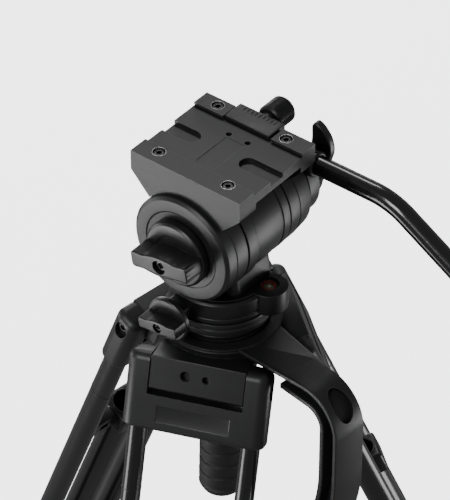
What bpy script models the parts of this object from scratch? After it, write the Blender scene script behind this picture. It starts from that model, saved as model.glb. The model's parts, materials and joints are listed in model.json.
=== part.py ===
"""Fluid head on a twin-tube tripod with a half-ball bowl, a carry handle and a mid-level spreader.

World frame: metres, +Z up, origin on the floor under the pan axis.  X is the tilt axis
(towards the pan handle), +Y is where a camera's lens looks, the operator stands at -Y.
"""
import bmesh
import bpy
from math import atan2, cos, pi, radians, sin
from mathutils import Matrix, Vector

# ---------------------------------------------------------------- clearances
FIT = 0.0003            # between seated, non-moving neighbours
RUN = 0.0004            # between pieces that turn or slide on each other
AIR = 0.0012            # between moving pieces that never bear on each other

# ---------------------------------------------------------------- tripod
RIM_HEIGHT = 0.600      # bowl rim above the floor, legs retracted and spread
LEG_AZIMUTHS = (201.5, 321.5, 441.5)
LEG_SPREAD = radians(22.0)
PIVOT_RADIUS = 0.0537   # leg hinge from the pan axis
PIVOT_DROP = 0.0190     # leg hinge below the rim
TUBE_SPACING = 0.0908   # between the two upper tubes of a leg
TUBE_A = 0.0100         # oval upper tube, half width radially
TUBE_B = 0.0075         # oval upper tube, half width sideways
TUBE_WALL = 0.0013
BRACKET_HALF = 0.0572   # shoulder bracket, half width
BRACKET_OPEN = 0.0386   # half width of the bracket's opening
BRACKET_DEEP = 0.0122   # half thickness of the bracket
COLUMN_TOP = 0.0115     # column above the leg hinge
BAR_TOP = 0.0215        # bar's upper face below the leg hinge
BAR_BOTTOM = 0.0510
SOCKET_DEPTH = 0.0245
BOLT_R = 0.0030
BOLT_HEAD_R = 0.0050
COLLAR_TOP = 0.455      # collar's upper face below the leg hinge
COLLAR_HEIGHT = 0.048
LOW_TUBE_R = 0.0125     # single lower tube between the two upper ones
LOW_TUBE_TOP = 0.165    # its upper end below the leg hinge, legs retracted
LOW_TUBE_WALL = 0.0015
FOOT_HEIGHT = 0.050

# ---------------------------------------------------------------- bowl and crown
RIM_R = 0.0476
BALL_R = 0.0372
BOWL_OUTER = 0.0444      # outside of the bowl's wall
LOBE_R = 0.0198
LOBE_FRONT = 0.0115     # lobe's flat face from the hinge line
CUP_OUTER = 0.0495
STUD_R = 0.0050
GRIP_TOP = -0.0530
GRIP_BOTTOM = -0.1850
GRIP_R_TOP = 0.0165
GRIP_R_BOTTOM = 0.0190

# ---------------------------------------------------------------- carry handle
HANDLE_AZIMUTH = 261.5
HANDLE_HALF = 0.0150
STRAP_T = 0.0040
HANDLE_DEPTH = 0.0200

# ---------------------------------------------------------------- pan unit
BASE_R = 0.0406
BASE_LOW = 0.0072
BASE_TOP = 0.0184
NECK_R = 0.0362
DISC_LOW = 0.0200
DISC_TOP = 0.0398
SPINDLE_R = 0.0085
SPINDLE_TOP = 0.0440
STUD_TOP = -0.0100
BOSS_X = 0.0100
BOSS_Y = -0.0380
BOSS_R = 0.0155
BOSS_LOW = 0.0205
VIAL_R = 0.0083

# ---------------------------------------------------------------- tilt unit
TILT_Z = 0.0927
DRUM_R = 0.0454
DRUM_L_FACE = -0.0497
DRUM_L_END = -0.0242
CORE_L = -0.0230
CORE_R = 0.0296
CORE_RADIUS = 0.0440
DRUM_R_START = 0.0308
DRUM_R_FACE = 0.0592
DRUM_R_R = 0.0435
DRUM_R_TIP = 0.0420
SHAFT_R = 0.0060
CUP_R = 0.0340

# ---------------------------------------------------------------- drag knobs
TILT_KNOB_R = 0.0277
TILT_KNOB_FACE = DRUM_L_FACE - 0.0006
PAN_KNOB_R = 0.0188
PAN_KNOB_FACE = -0.0540
PAN_KNOB_Y = 0.0065
PAN_KNOB_Z = 0.0260
KNOB_LEAN = radians(-9.0)

# ---------------------------------------------------------------- platform
DECK_X0 = -0.0437
DECK_X1 = 0.0480
DECK_Y0 = -0.0514
DECK_Y1 = 0.0524
DECK_TOP = 0.1590
DECK_FLOOR = 0.1558
DECK_UNDER = 0.1475
RAIL_IN = -0.0260
FAR_RAIL_IN = 0.0320
SLOT_W = 0.0149
SLOT_X = 0.0010
SLOT_FLOOR = 0.1521
JAW_Y0 = -0.0193
JAW_Y1 = 0.0235
JAW_LIP = 0.0528
SCREW_Y = 0.0005
SCREW_Z = 0.1505
CLAMP_KNOB_R = 0.0112

# ---------------------------------------------------------------- pan handle
HOLDER_R = 0.0368
HOLDER_X0 = 0.0600
HOLDER_X1 = 0.0800
BAR_X = 0.0700
BAR_Z = 0.1190
BAR_R = 0.0080
BARREL_R = 0.0108       # holder's barrel round the bar
BAR_START = -0.0100
BAR_BEND = -0.1080
BAR_DROP = radians(31.0)
BAR_LENGTH = 0.2350     # from the bend to the end of the tube
HAND_GRIP = 0.1250
HAND_GRIP_R = 0.0150

# ---------------------------------------------------------------- spreader
HUB_DROP = 0.2750       # hub centre below the rim
HUB_R = 0.0220
LUG_REACH = 0.0135      # collar's lug, from its inner face to the arm's pivot

SEG = 24                # facets round a large circle
SEG_MID = 14            # round tubes, bores and bosses
SEG_SMALL = 8           # round screws and pins


# ================================================================ scene and materials
for leftover in list(bpy.data.objects):
    bpy.data.objects.remove(leftover, do_unlink=True)

model = bpy.data.collections.new("head_and_tripod")
bpy.context.scene.collection.children.link(model)


def material(name, colour, roughness, metallic=0.0):
    made = bpy.data.materials.new(name)
    made.use_nodes = True
    shader = made.node_tree.nodes["Principled BSDF"]
    shader.inputs["Base Color"].default_value = (*colour, 1.0)
    shader.inputs["Roughness"].default_value = roughness
    shader.inputs["Metallic"].default_value = metallic
    return made


CASTING = material("casting", (0.055, 0.055, 0.057), 0.55, 0.2)
TUBE = material("tube", (0.03, 0.03, 0.035), 0.25, 0.7)
GLOSS = material("gloss_bar", (0.012, 0.012, 0.012), 0.18, 0.1)
PLASTIC = material("plastic", (0.035, 0.035, 0.036), 0.6)
RUBBER = material("rubber", (0.02, 0.02, 0.02), 0.85)
SCREWS = material("screws", (0.02, 0.02, 0.022), 0.35, 0.8)
STEEL = material("steel", (0.5, 0.5, 0.52), 0.3, 1.0)
VIAL = material("vial", (0.7, 0.75, 0.6), 0.05)


# ================================================================ small tools
def add(name, mesh, finish):
    """Puts a mesh into the model as an object with one finish."""
    mesh.materials.clear()
    mesh.materials.append(finish)
    made = bpy.data.objects.new(name, mesh)
    model.objects.link(made)
    return made


def mesh_of(made):
    """The evaluated mesh of an object, welded, with its modifiers or its curve gone."""
    bpy.context.view_layer.update()
    graph = bpy.context.evaluated_depsgraph_get()
    mesh = bpy.data.meshes.new_from_object(made.evaluated_get(graph))
    mesh.transform(made.matrix_world)
    bpy.data.objects.remove(made, do_unlink=True)
    body = bmesh.new()
    body.from_mesh(mesh)
    bmesh.ops.remove_doubles(body, verts=body.verts, dist=0.00001)
    bmesh.ops.recalc_face_normals(body, faces=body.faces)
    body.to_mesh(mesh)
    body.free()
    return mesh


def temp(data):
    made = bpy.data.objects.new("work", data)
    model.objects.link(made)
    return made


def block(low, high, bevel=0.0, segments=2):
    """A box between two corners, its edges rounded by a Bevel."""
    body = bmesh.new()
    bmesh.ops.create_cube(body, size=1.0)
    size = Vector(high) - Vector(low)
    bmesh.ops.scale(body, vec=size, verts=body.verts)
    bmesh.ops.translate(body, vec=(Vector(high) + Vector(low)) / 2, verts=body.verts)
    mesh = bpy.data.meshes.new("block")
    body.to_mesh(mesh)
    body.free()
    if bevel <= 0.0:
        return mesh
    made = temp(mesh)
    rounding = made.modifiers.new("rounding", 'BEVEL')
    rounding.width = bevel
    rounding.segments = segments
    return mesh_of(made)


def rod(start, end, radius, sides=SEG_SMALL, end_radius=None):
    """A round bar between two points, tapered when end_radius is given."""
    start, end = Vector(start), Vector(end)
    run = end - start
    body = bmesh.new()
    bmesh.ops.create_cone(body, cap_ends=True, segments=sides, radius1=radius,
                          radius2=radius if end_radius is None else end_radius,
                          depth=run.length)
    turn = Vector((0, 0, 1)).rotation_difference(run).to_matrix().to_4x4()
    body.transform(Matrix.Translation((start + end) / 2) @ turn)
    mesh = bpy.data.meshes.new("rod")
    body.to_mesh(mesh)
    body.free()
    return mesh


def turned(profile, sides=SEG, closed=False, along_x=False):
    """Turns a profile of (radius, height) about Z, or about X with height along X."""
    mesh = bpy.data.meshes.new("profile")
    points = [(radius, 0.0, height) for radius, height in profile]
    edges = [(i, i + 1) for i in range(len(points) - 1)]
    if closed:
        edges.append((len(points) - 1, 0))
    mesh.from_pydata(points, edges, [])
    made = temp(mesh)
    screw = made.modifiers.new("turn", 'SCREW')
    screw.steps = sides
    screw.render_steps = sides
    screw.use_merge_vertices = True
    screw.merge_threshold = 0.00001
    done = mesh_of(made)
    if along_x:
        done.transform(Matrix.Rotation(pi / 2, 4, 'Y'))
    return done


def ring(inner, outer, low, high, sides=SEG, along_x=False):
    """A plain tube about Z or X."""
    return turned([(outer, high), (outer, low), (inner, low), (inner, high)], sides, True, along_x)


def plate(outline, thickness, frame=None, holes=()):
    """A flat outline in XY with holes, thickened to both sides, then moved by frame."""
    curve = bpy.data.curves.new("outline", 'CURVE')
    curve.dimensions = '2D'
    curve.fill_mode = 'BOTH'
    curve.extrude = thickness / 2
    for path in (outline, *holes):
        spline = curve.splines.new('POLY')
        spline.points.add(len(path) - 1)
        for point, (x, y) in zip(spline.points, path):
            point.co = (x, y, 0.0, 1.0)
        spline.use_cyclic_u = True
    mesh = mesh_of(temp(curve))
    if frame is not None:
        mesh.transform(frame)
    return mesh


def wire(points, radius, resolution=2, cyclic=False):
    """A round bar along a list of points, closed at both ends."""
    curve = bpy.data.curves.new("wire", 'CURVE')
    curve.dimensions = '3D'
    curve.bevel_depth = radius
    curve.bevel_resolution = resolution
    curve.use_fill_caps = True
    spline = curve.splines.new('POLY')
    spline.points.add(len(points) - 1)
    for point, place in zip(spline.points, points):
        point.co = (*place, 1.0)
    spline.use_cyclic_u = cyclic
    return mesh_of(temp(curve))


def boolean(first, second, operation):
    base, tool = temp(first), temp(second)
    tool.hide_render = True
    tool.display_type = 'WIRE'
    change = base.modifiers.new("change", 'BOOLEAN')
    change.operation = operation
    change.solver = 'EXACT'
    change.object = tool
    mesh = mesh_of(base)
    bpy.data.objects.remove(tool, do_unlink=True)
    return mesh


def cut(base, *tools):
    for tool in tools:
        base = boolean(base, tool, 'DIFFERENCE')
    return base


def join(base, *others):
    for other in others:
        base = boolean(base, other, 'UNION')
    return base


def arc(centre, radius, start, end, steps):
    """Points on a circle, both ends included, angles in degrees."""
    angles = [radians(start + (end - start) * i / steps) for i in range(steps + 1)]
    return [(centre[0] + radius * cos(a), centre[1] + radius * sin(a)) for a in angles]


def oval(centre, half_x, half_y, sides):
    turns = [2 * pi * i / sides for i in range(sides)]
    return [(centre[0] + half_x * cos(a), centre[1] + half_y * sin(a)) for a in turns]


def stands_on_x(offset=0.0):
    """Frame that puts an XY outline into the YZ plane at a given X."""
    return Matrix(((0, 0, 1, offset), (1, 0, 0, 0), (0, 1, 0, 0), (0, 0, 0, 1)))


def empty(name, place, parent=None, rotation=None):
    made = bpy.data.objects.new(name, None)
    model.objects.link(made)
    made.location = place
    if rotation is not None:
        made.rotation_euler = rotation.to_euler()
    made.parent = parent
    return made


def seat(name, mesh, finish, parent, pivot=(0.0, 0.0, 0.0)):
    """Adds a piece whose mesh is in its parent's frame and whose origin is at its pivot."""
    mesh.transform(Matrix.Translation(-Vector(pivot)))
    made = add(name, mesh, finish)
    made.location = pivot
    made.parent = parent
    made.data.shade_smooth()
    made.data.set_sharp_from_angle(angle=radians(32))
    return made


def socket_screw(top, direction, head_r, head_h, shank_r, shank_l):
    """A cap screw with a hexagon socket: top is the middle of the head's outer face."""
    top, direction = Vector(top), Vector(direction).normalized()
    head_end = top - direction * head_h
    body = join(rod(top, head_end, head_r),
                rod(head_end + direction * 0.0005, head_end - direction * shank_l, shank_r, SEG_SMALL))
    hexagon = rod(top + direction * 0.001, top - direction * head_h * 0.6, head_r * 0.55, 6)
    return cut(body, hexagon)


# ================================================================ head frame
rim = empty("rim", (0.0, 0.0, RIM_HEIGHT))
tilt = Vector((0.0, 0.0, TILT_Z))


def about_tilt(mesh):
    mesh.transform(Matrix.Translation(tilt))
    return mesh


# ---------------------------------------------------------------- half ball and pan base
def half_ball():
    """The ball with the pan spindle standing on it and a bore for the tie-down stud."""
    dome = [(BALL_R * cos(radians(a)), -BALL_R * sin(radians(a))) for a in range(0, 61, 10)]
    profile = [(0, SPINDLE_TOP), (SPINDLE_R, SPINDLE_TOP), (SPINDLE_R, 0.0004), (BALL_R, 0.0004)]
    ball = turned(profile + dome[1:] + [(0, dome[-1][1])])
    nut = rod((0, 0, SPINDLE_TOP - 0.006), (0, 0, SPINDLE_TOP - 0.0003), 0.0125, 6)
    return cut(join(ball, nut), rod((0, 0, -0.1), (0, 0, STUD_TOP + FIT), STUD_R + FIT, SEG_MID))


def pan_base():
    profile = [(BASE_R - 0.001, BASE_TOP), (BASE_R, BASE_TOP - 0.001), (BASE_R, BASE_LOW + 0.0015),
               (BASE_R - 0.0015, BASE_LOW), (NECK_R, BASE_LOW), (NECK_R, 0.0009),
               (SPINDLE_R + FIT, 0.0009), (SPINDLE_R + FIT, BASE_TOP)]
    return turned(profile, SEG, True)


seat("half_ball", half_ball(), CASTING, rim)
seat("pan_base", pan_base(), CASTING, rim)
BEARING_IN = 0.0150
BEARING_OUT = 0.0250
BEARING_TOP = DISC_LOW + 0.0050
seat("pan_bearing", ring(BEARING_IN, BEARING_OUT, BASE_TOP + FIT, BEARING_TOP), STEEL, rim)

# ---------------------------------------------------------------- pan housing with tilt core
def pan_housing():
    disc = turned([(0, DISC_TOP), (BASE_R - 0.0012, DISC_TOP), (BASE_R, DISC_TOP - 0.0012),
                   (BASE_R, DISC_LOW + 0.0008), (BASE_R - 0.0008, DISC_LOW), (0, DISC_LOW)])
    boss = rod((BOSS_X, BOSS_Y, BOSS_LOW), (BOSS_X, BOSS_Y, DISC_TOP), BOSS_R, SEG)
    foot = block((-0.0190, -0.0290, DISC_LOW + 0.012), (0.0275, 0.0290, TILT_Z - 0.020), 0.006, 3)
    core = turned([(0, CORE_R), (CORE_RADIUS - 0.0008, CORE_R), (CORE_RADIUS, CORE_R - 0.0008),
                   (CORE_RADIUS, CORE_L + 0.0125), (DRUM_R - 0.0004, CORE_L + 0.0115),
                   (DRUM_R, CORE_L + 0.0105), (DRUM_R, CORE_L + 0.0008),
                   (DRUM_R - 0.0008, CORE_L), (0, CORE_L)], SEG, False, True)
    stub = block((PAN_KNOB_FACE + 0.0006, PAN_KNOB_Y - 0.0095, DISC_LOW + 0.0004),
                 (-0.0300, PAN_KNOB_Y + 0.0095, PAN_KNOB_Z + 0.0085), 0.0020, 1)
    body = join(disc, boss, foot, about_tilt(core), stub)
    bearing_seat = rod((0, 0, DISC_LOW - 0.005), (0, 0, BEARING_TOP + FIT), BEARING_OUT + RUN, SEG)
    spindle_bore = rod((0, 0, 0), (0, 0, SPINDLE_TOP + AIR), SPINDLE_R + RUN, SEG_MID)
    nut_room = rod((0, 0, SPINDLE_TOP - 0.0065), (0, 0, SPINDLE_TOP + 0.003), 0.0135, SEG_MID)
    shaft_bore = rod((-0.05, 0, TILT_Z), (0.05, 0, TILT_Z), SHAFT_R + 0.0065 + FIT, SEG)
    vial_seat = rod((BOSS_X, BOSS_Y, DISC_TOP - 0.0075), (BOSS_X, BOSS_Y, DISC_TOP + 0.002),
                    VIAL_R + FIT, SEG_MID)
    stub_bore = rod((-0.0600, PAN_KNOB_Y, PAN_KNOB_Z), (-0.0330, PAN_KNOB_Y, PAN_KNOB_Z), 0.0030, SEG_SMALL)
    return cut(body, bearing_seat, spindle_bore, nut_room, shaft_bore, vial_seat, stub_bore)


seat("pan_housing", pan_housing(), CASTING, rim)
seat("bubble_vial", turned([(0, DISC_TOP - 0.0022), (VIAL_R - 0.0015, DISC_TOP - 0.0026),
                            (VIAL_R, DISC_TOP - 0.0042), (VIAL_R, DISC_TOP - 0.0072),
                            (0, DISC_TOP - 0.0072)], SEG_MID), VIAL, rim)
bpy.data.objects["bubble_vial"].location = (BOSS_X, BOSS_Y, 0)
bushing = ring(SHAFT_R + RUN, SHAFT_R + 0.0065, CORE_L + 0.001, CORE_R - 0.001, SEG, True)
seat("tilt_bushing", about_tilt(bushing), STEEL, rim)


# ---------------------------------------------------------------- drag knobs
def wing_knob(face_x, radius, lean):
    """A round knob about X with a bar across it; face_x is its inner face, it grows to -X."""
    k = radius / 0.0277
    disc = turned([(0, 0.0), (radius - 0.0008, 0.0), (radius, 0.0010), (radius, 0.0063 * k),
                   (radius - 0.0012, 0.0077 * k), (0, 0.0077 * k)], SEG, False, True)
    disc.transform(Matrix.Scale(-1, 4, (1, 0, 0)))
    disc.flip_normals()
    bar = block((-0.0257 * k, -radius * 0.985, -0.0070 * k), (-0.004 * k, radius * 0.985, 0.0070 * k),
                0.0012, 1)
    bar = boolean(bar, rod((-0.05, 0, 0), (0.01, 0, 0), radius - 0.0006, SEG), 'INTERSECT')
    boss = rod((-0.0257 * k, 0, 0), (-0.004 * k, 0, 0), 0.0092 * k, SEG_MID)
    body = join(disc, bar, boss)
    body = cut(body, rod((-0.0270 * k, 0, 0), (-0.0190 * k, 0, 0), 0.0060 * k, SEG_MID),
               rod((-0.03 * k, 0, 0), (0.01, 0, 0), 0.0034 * k, SEG_SMALL))
    body.transform(Matrix.Rotation(lean, 4, 'X'))
    body.transform(Matrix.Translation((face_x, 0, 0)))
    return body


def knob_screw(face_x, radius, reach):
    k = radius / 0.0277
    return socket_screw((face_x - 0.0224 * k - FIT, 0, 0), (-1, 0, 0), 0.0056 * k, 0.0034 * k,
                        0.0030 * k, reach)


PAN_KNOB_AXIS = Vector((0.0, PAN_KNOB_Y, PAN_KNOB_Z))


def placed(mesh, offset):
    mesh.transform(Matrix.Translation(offset))
    return mesh


head_tilt = empty("tilt_axis", tilt, rim)
seat("tilt_drag_knob", wing_knob(TILT_KNOB_FACE, TILT_KNOB_R, KNOB_LEAN), PLASTIC, head_tilt)
seat("tilt_knob_screw", knob_screw(TILT_KNOB_FACE, TILT_KNOB_R, 0.0290), SCREWS, head_tilt)
seat("pan_drag_knob", placed(wing_knob(PAN_KNOB_FACE, PAN_KNOB_R, KNOB_LEAN), PAN_KNOB_AXIS),
     PLASTIC, rim, PAN_KNOB_AXIS)
seat("pan_knob_screw", placed(knob_screw(PAN_KNOB_FACE, PAN_KNOB_R, 0.0180), PAN_KNOB_AXIS),
     SCREWS, rim, PAN_KNOB_AXIS)


# ---------------------------------------------------------------- tilting drums and shaft
def drum_left():
    shell = turned([(SHAFT_R + FIT, DRUM_L_END), (DRUM_R - 0.0008, DRUM_L_END),
                    (DRUM_R, DRUM_L_END - 0.0008), (DRUM_R, DRUM_L_FACE + 0.0014),
                    (DRUM_R - 0.0014, DRUM_L_FACE), (SHAFT_R + FIT, DRUM_L_FACE)], SEG, True, True)
    room = ring(SHAFT_R + 0.0060, CUP_R, DRUM_L_FACE + 0.0070, DRUM_L_END + 0.01, SEG, True)
    return cut(shell, room)


def drum_right():
    shell = turned([(SHAFT_R + FIT, DRUM_R_FACE), (DRUM_R_TIP - 0.0010, DRUM_R_FACE),
                    (DRUM_R_TIP, DRUM_R_FACE - 0.0010), (DRUM_R_R, DRUM_R_START + 0.012),
                    (DRUM_R_R, DRUM_R_START + 0.0008), (DRUM_R_R - 0.0008, DRUM_R_START),
                    (SHAFT_R + FIT, DRUM_R_START)], SEG, True, True)
    room = ring(SHAFT_R + 0.0060, CUP_R, DRUM_R_START - 0.01, DRUM_R_FACE - 0.0070, SEG, True)
    return cut(shell, room)


def counter_spring():
    """Close-wound coil round the shaft inside the right drum."""
    coil_r, wire_r, pitch, turns, per_turn = 0.0220, 0.0018, 0.0055, 3, 10
    start = DRUM_R_START + 0.0028
    points = []
    for i in range(turns * per_turn + 1):
        angle = 2 * pi * i / per_turn
        points.append((start + pitch * i / per_turn, coil_r * cos(angle), coil_r * sin(angle)))
    return wire(points, wire_r, 0)


seat("drum_left", drum_left(), CASTING, head_tilt)
seat("drum_right", drum_right(), CASTING, head_tilt)
seat("tilt_shaft", rod((DRUM_L_FACE + 0.0205, 0, 0), (HOLDER_X0 - 0.0006, 0, 0), SHAFT_R, SEG_MID),
     STEEL, head_tilt)


def damper_rotor():
    """Finned rotor of the fluid cartridge inside the left drum."""
    hub_in, hub_out, fin_r, pitch = SHAFT_R + 0.0066, 0.0160, 0.0310, 0.0045
    start = DRUM_L_FACE + 0.0080
    profile = [(hub_out, start)]
    for i in range(3):
        low = start + 0.0004 + i * pitch
        profile += [(hub_out, low), (fin_r, low), (fin_r, low + 0.0018), (hub_out, low + 0.0018)]
    end = profile[-1][1] + 0.0004
    profile += [(hub_out, end), (hub_in, end), (hub_in, start)]
    return turned(profile, SEG_MID, True, True)


seat("damper_rotor", damper_rotor(), STEEL, head_tilt)
seat("counter_spring", counter_spring(), STEEL, head_tilt)


# ---------------------------------------------------------------- platform
def platform():
    deck = block((DECK_X0, DECK_Y0, DECK_UNDER), (DECK_X1, DECK_Y1, DECK_FLOOR))
    rail = block((DECK_X0, DECK_Y0, DECK_UNDER + 0.001), (RAIL_IN, DECK_Y1, DECK_TOP))
    far_a = block((FAR_RAIL_IN, JAW_Y1 + 0.0008, DECK_UNDER + 0.001), (DECK_X1, DECK_Y1, DECK_TOP))
    far_b = block((FAR_RAIL_IN, DECK_Y0, DECK_UNDER + 0.001), (DECK_X1, JAW_Y0 - 0.0022, DECK_TOP))
    skirt_side = DECK_UNDER - 0.0060
    skirt_foot = 0.1220
    outline = [(DECK_Y0, DECK_UNDER + 0.001), (DECK_Y0, skirt_side), (-0.0320, skirt_foot),
               (0.0340, skirt_foot), (DECK_Y1, skirt_side), (DECK_Y1, DECK_UNDER + 0.001)]
    left = plate(outline, RAIL_IN + 0.002 - DECK_X0, stands_on_x((DECK_X0 + RAIL_IN + 0.002) / 2))
    right = plate(outline, DECK_X1 - DRUM_R_START, stands_on_x((DECK_X1 + DRUM_R_START) / 2))
    body = join(deck, rail, far_a, far_b, left, right)
    tools = [rod((DECK_X0 - 0.01, 0, TILT_Z), (DRUM_L_END + 0.0004, 0, TILT_Z), DRUM_R + FIT, 48),
             rod((DRUM_R_START - 0.0004, 0, TILT_Z), (DECK_X1 + 0.01, 0, TILT_Z), DRUM_R_R + FIT, 48)]
    for y_end, sign, reach in ((DECK_Y1, -1, 0.0300), (DECK_Y0, 1, 0.0340)):
        inner = y_end + sign * (reach - SLOT_W / 2)
        outer = y_end - sign * 0.01
        tools.append(block((SLOT_X - SLOT_W / 2, min(inner, outer), SLOT_FLOOR),
                           (SLOT_X + SLOT_W / 2, max(inner, outer), DECK_TOP)))
        tools.append(rod((SLOT_X, inner, SLOT_FLOOR), (SLOT_X, inner, DECK_TOP), SLOT_W / 2, SEG_MID))
    for x, y in ((0.0205, 0.0093), (0.0205, -0.0086)):
        tools.append(rod((x, y, DECK_FLOOR - 0.004), (x, y, DECK_TOP), 0.0024, SEG_SMALL))
    for x, y in PLATE_SCREWS:
        tools.append(rod((x, y, DECK_TOP - 0.0064), (x, y, DECK_TOP + 0.002), 0.0053, SEG_MID))
        tools.append(rod((x, y, DECK_UNDER - 0.002), (x, y, DECK_TOP), 0.0030 + FIT, SEG_SMALL))
    tools.append(rod((FAR_RAIL_IN - 0.002, SCREW_Y, SCREW_Z), (DECK_X1 + 0.01, SCREW_Y, SCREW_Z),
                     0.0030 + RUN, SEG_MID))
    return placed(cut(body, *tools), -tilt)


PLATE_SCREWS = ((0.0405, 0.0358), (0.0398, -0.0303), (-0.0315, 0.0346), (-0.0310, -0.0306))
seat("platform", platform(), CASTING, head_tilt)
for i, (x, y) in enumerate(PLATE_SCREWS):
    screw = socket_screw((x, y, DECK_TOP - 0.0012 - TILT_Z), (0, 0, 1), 0.0048, 0.0048, 0.0029, 0.0062)
    seat("platform_screw_" + str(i + 1), screw, SCREWS, head_tilt)


# ---------------------------------------------------------------- clamp jaw and its knob
def clamp_jaw():
    z = DECK_FLOOR + RUN
    top = block((FAR_RAIL_IN + 0.001, JAW_Y0, z), (JAW_LIP, JAW_Y1, DECK_TOP + 0.0006), 0.0006, 1)
    lip = block((DECK_X1 + RUN, JAW_Y0 + 0.0002, SCREW_Z - 0.0055), (JAW_LIP, JAW_Y1 - 0.0002, z + 0.001))
    bore = rod((DECK_X1 - 0.01, SCREW_Y, SCREW_Z), (JAW_LIP + 0.01, SCREW_Y, SCREW_Z), 0.0030 + RUN)
    return placed(cut(join(top, lip), bore), -tilt)


def clamp_knob():
    start = JAW_LIP + 0.0006
    sides, outer = 36, []
    for i in range(sides):
        radius = CLAMP_KNOB_R if i % 2 == 0 else CLAMP_KNOB_R - 0.0005
        outer.append((SCREW_Y + radius * cos(2 * pi * i / sides),
                      SCREW_Z + radius * sin(2 * pi * i / sides)))
    head = plate(outer, 0.0200, stands_on_x(start + 0.0150))
    neck = rod((start, SCREW_Y, SCREW_Z), (start + 0.0070, SCREW_Y, SCREW_Z), 0.0072, SEG_MID)
    thread = rod((FAR_RAIL_IN + 0.003, SCREW_Y, SCREW_Z), (start + 0.001, SCREW_Y, SCREW_Z), 0.0030)
    return placed(join(head, neck, thread), -tilt)


seat("clamp_jaw", clamp_jaw(), CASTING, head_tilt)
seat("clamp_knob", clamp_knob(), PLASTIC, head_tilt, (0.0, SCREW_Y, SCREW_Z - TILT_Z))


# ---------------------------------------------------------------- pan handle
def bar_route():
    """Straight out of the holder, one smooth bend, then straight down and back."""
    bend_r, steps = 0.060, 6
    points = [(BAR_X, BAR_START, BAR_Z), (BAR_X, BAR_BEND + 0.0166, BAR_Z)]
    start = BAR_BEND + 0.0166
    for i in range(1, steps + 1):
        angle = BAR_DROP * i / steps
        points.append((BAR_X, start - bend_r * sin(angle), BAR_Z - bend_r * (1 - cos(angle))))
    x, y, z = points[-1]
    points.append((x, y - BAR_LENGTH * cos(BAR_DROP), z - BAR_LENGTH * sin(BAR_DROP)))
    return [Vector(p) for p in points]


def handle_holder():
    disc = turned([(SHAFT_R + RUN, HOLDER_X1), (HOLDER_R - 0.003, HOLDER_X1), (HOLDER_R, HOLDER_X1 - 0.003),
                   (HOLDER_R, HOLDER_X0 + 0.0010), (HOLDER_R - 0.001, HOLDER_X0),
                   (SHAFT_R + RUN, HOLDER_X0)], SEG, True, True)
    barrel = rod((BAR_X, -0.0390, BAR_Z), (BAR_X, -0.0040, BAR_Z), BARREL_R, SEG_MID)
    body = join(about_tilt(disc), barrel)
    body = cut(body, rod((BAR_X, -0.06, BAR_Z), (BAR_X, BAR_START + FIT, BAR_Z), BAR_R + FIT, SEG_MID),
               rod((0.0300, 0, TILT_Z), (DRUM_R_FACE + RUN, 0, TILT_Z), DRUM_R_R + 0.004, SEG_MID))
    return placed(body, -tilt)


def handle_lever():
    x0 = max(HOLDER_X1, BAR_X + BARREL_R) + 0.0006
    x1 = x0 + 0.0070
    hub = rod((x0, 0, 0), (x1 + 0.0030, 0, 0), 0.0140, SEG_MID)
    wing = [(-0.0060, -0.0200), (-0.0200, -0.0220), (-0.0290, -0.0127), (-0.0316, 0.0),
            (-0.0370, 0.0150), (-0.0420, 0.0310), (-0.0390, 0.0430), (-0.0320, 0.0510),
            (-0.0258, 0.0540), (-0.0225, 0.0500), (-0.0230, 0.0360), (-0.0190, 0.0200), (0.0, 0.0120)]
    blade = plate(wing, x1 - x0, stands_on_x((x0 + x1) / 2))
    screw = rod((HOLDER_X0 + 0.006, 0, 0), (x1, 0, 0), 0.0050, SEG_MID)
    dimple = rod((x1 + 0.0018, 0, 0), (x1 + 0.01, 0, 0), 0.0060, SEG_MID)
    return cut(join(hub, blade, screw), dimple)


route = bar_route()
drop = (route[-1] - route[-2]).normalized()
seat("handle_holder", handle_holder(), CASTING, head_tilt)
seat("pan_bar", placed(wire(route, BAR_R, 4), -tilt), GLOSS, head_tilt)
grip_start = route[-1] - drop * (HAND_GRIP - 0.004)
grip_end = route[-1] + drop * 0.004
hand_grip = rod(grip_start, grip_end, HAND_GRIP_R, SEG_MID, HAND_GRIP_R * 0.92)
hand_grip = cut(hand_grip, rod(grip_start - drop * 0.01, route[-1] + drop * FIT, BAR_R + FIT, SEG_MID))
seat("hand_grip", placed(hand_grip, -tilt), RUBBER, head_tilt)
seat("handle_lever", handle_lever(), PLASTIC, head_tilt)


# ================================================================ crown
def leg_frame(index, local=True):
    """Frame of a leg: origin on its hinge, X outwards, Z up along the leg, Y sideways."""
    turn = Matrix.Rotation(radians(LEG_AZIMUTHS[index]), 4, 'Z')
    place = Matrix.Translation((PIVOT_RADIUS, 0, -PIVOT_DROP))
    lean = Matrix.Rotation(-LEG_SPREAD, 4, 'Y') if local else Matrix.Identity(4)
    return turn @ place @ lean


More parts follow.
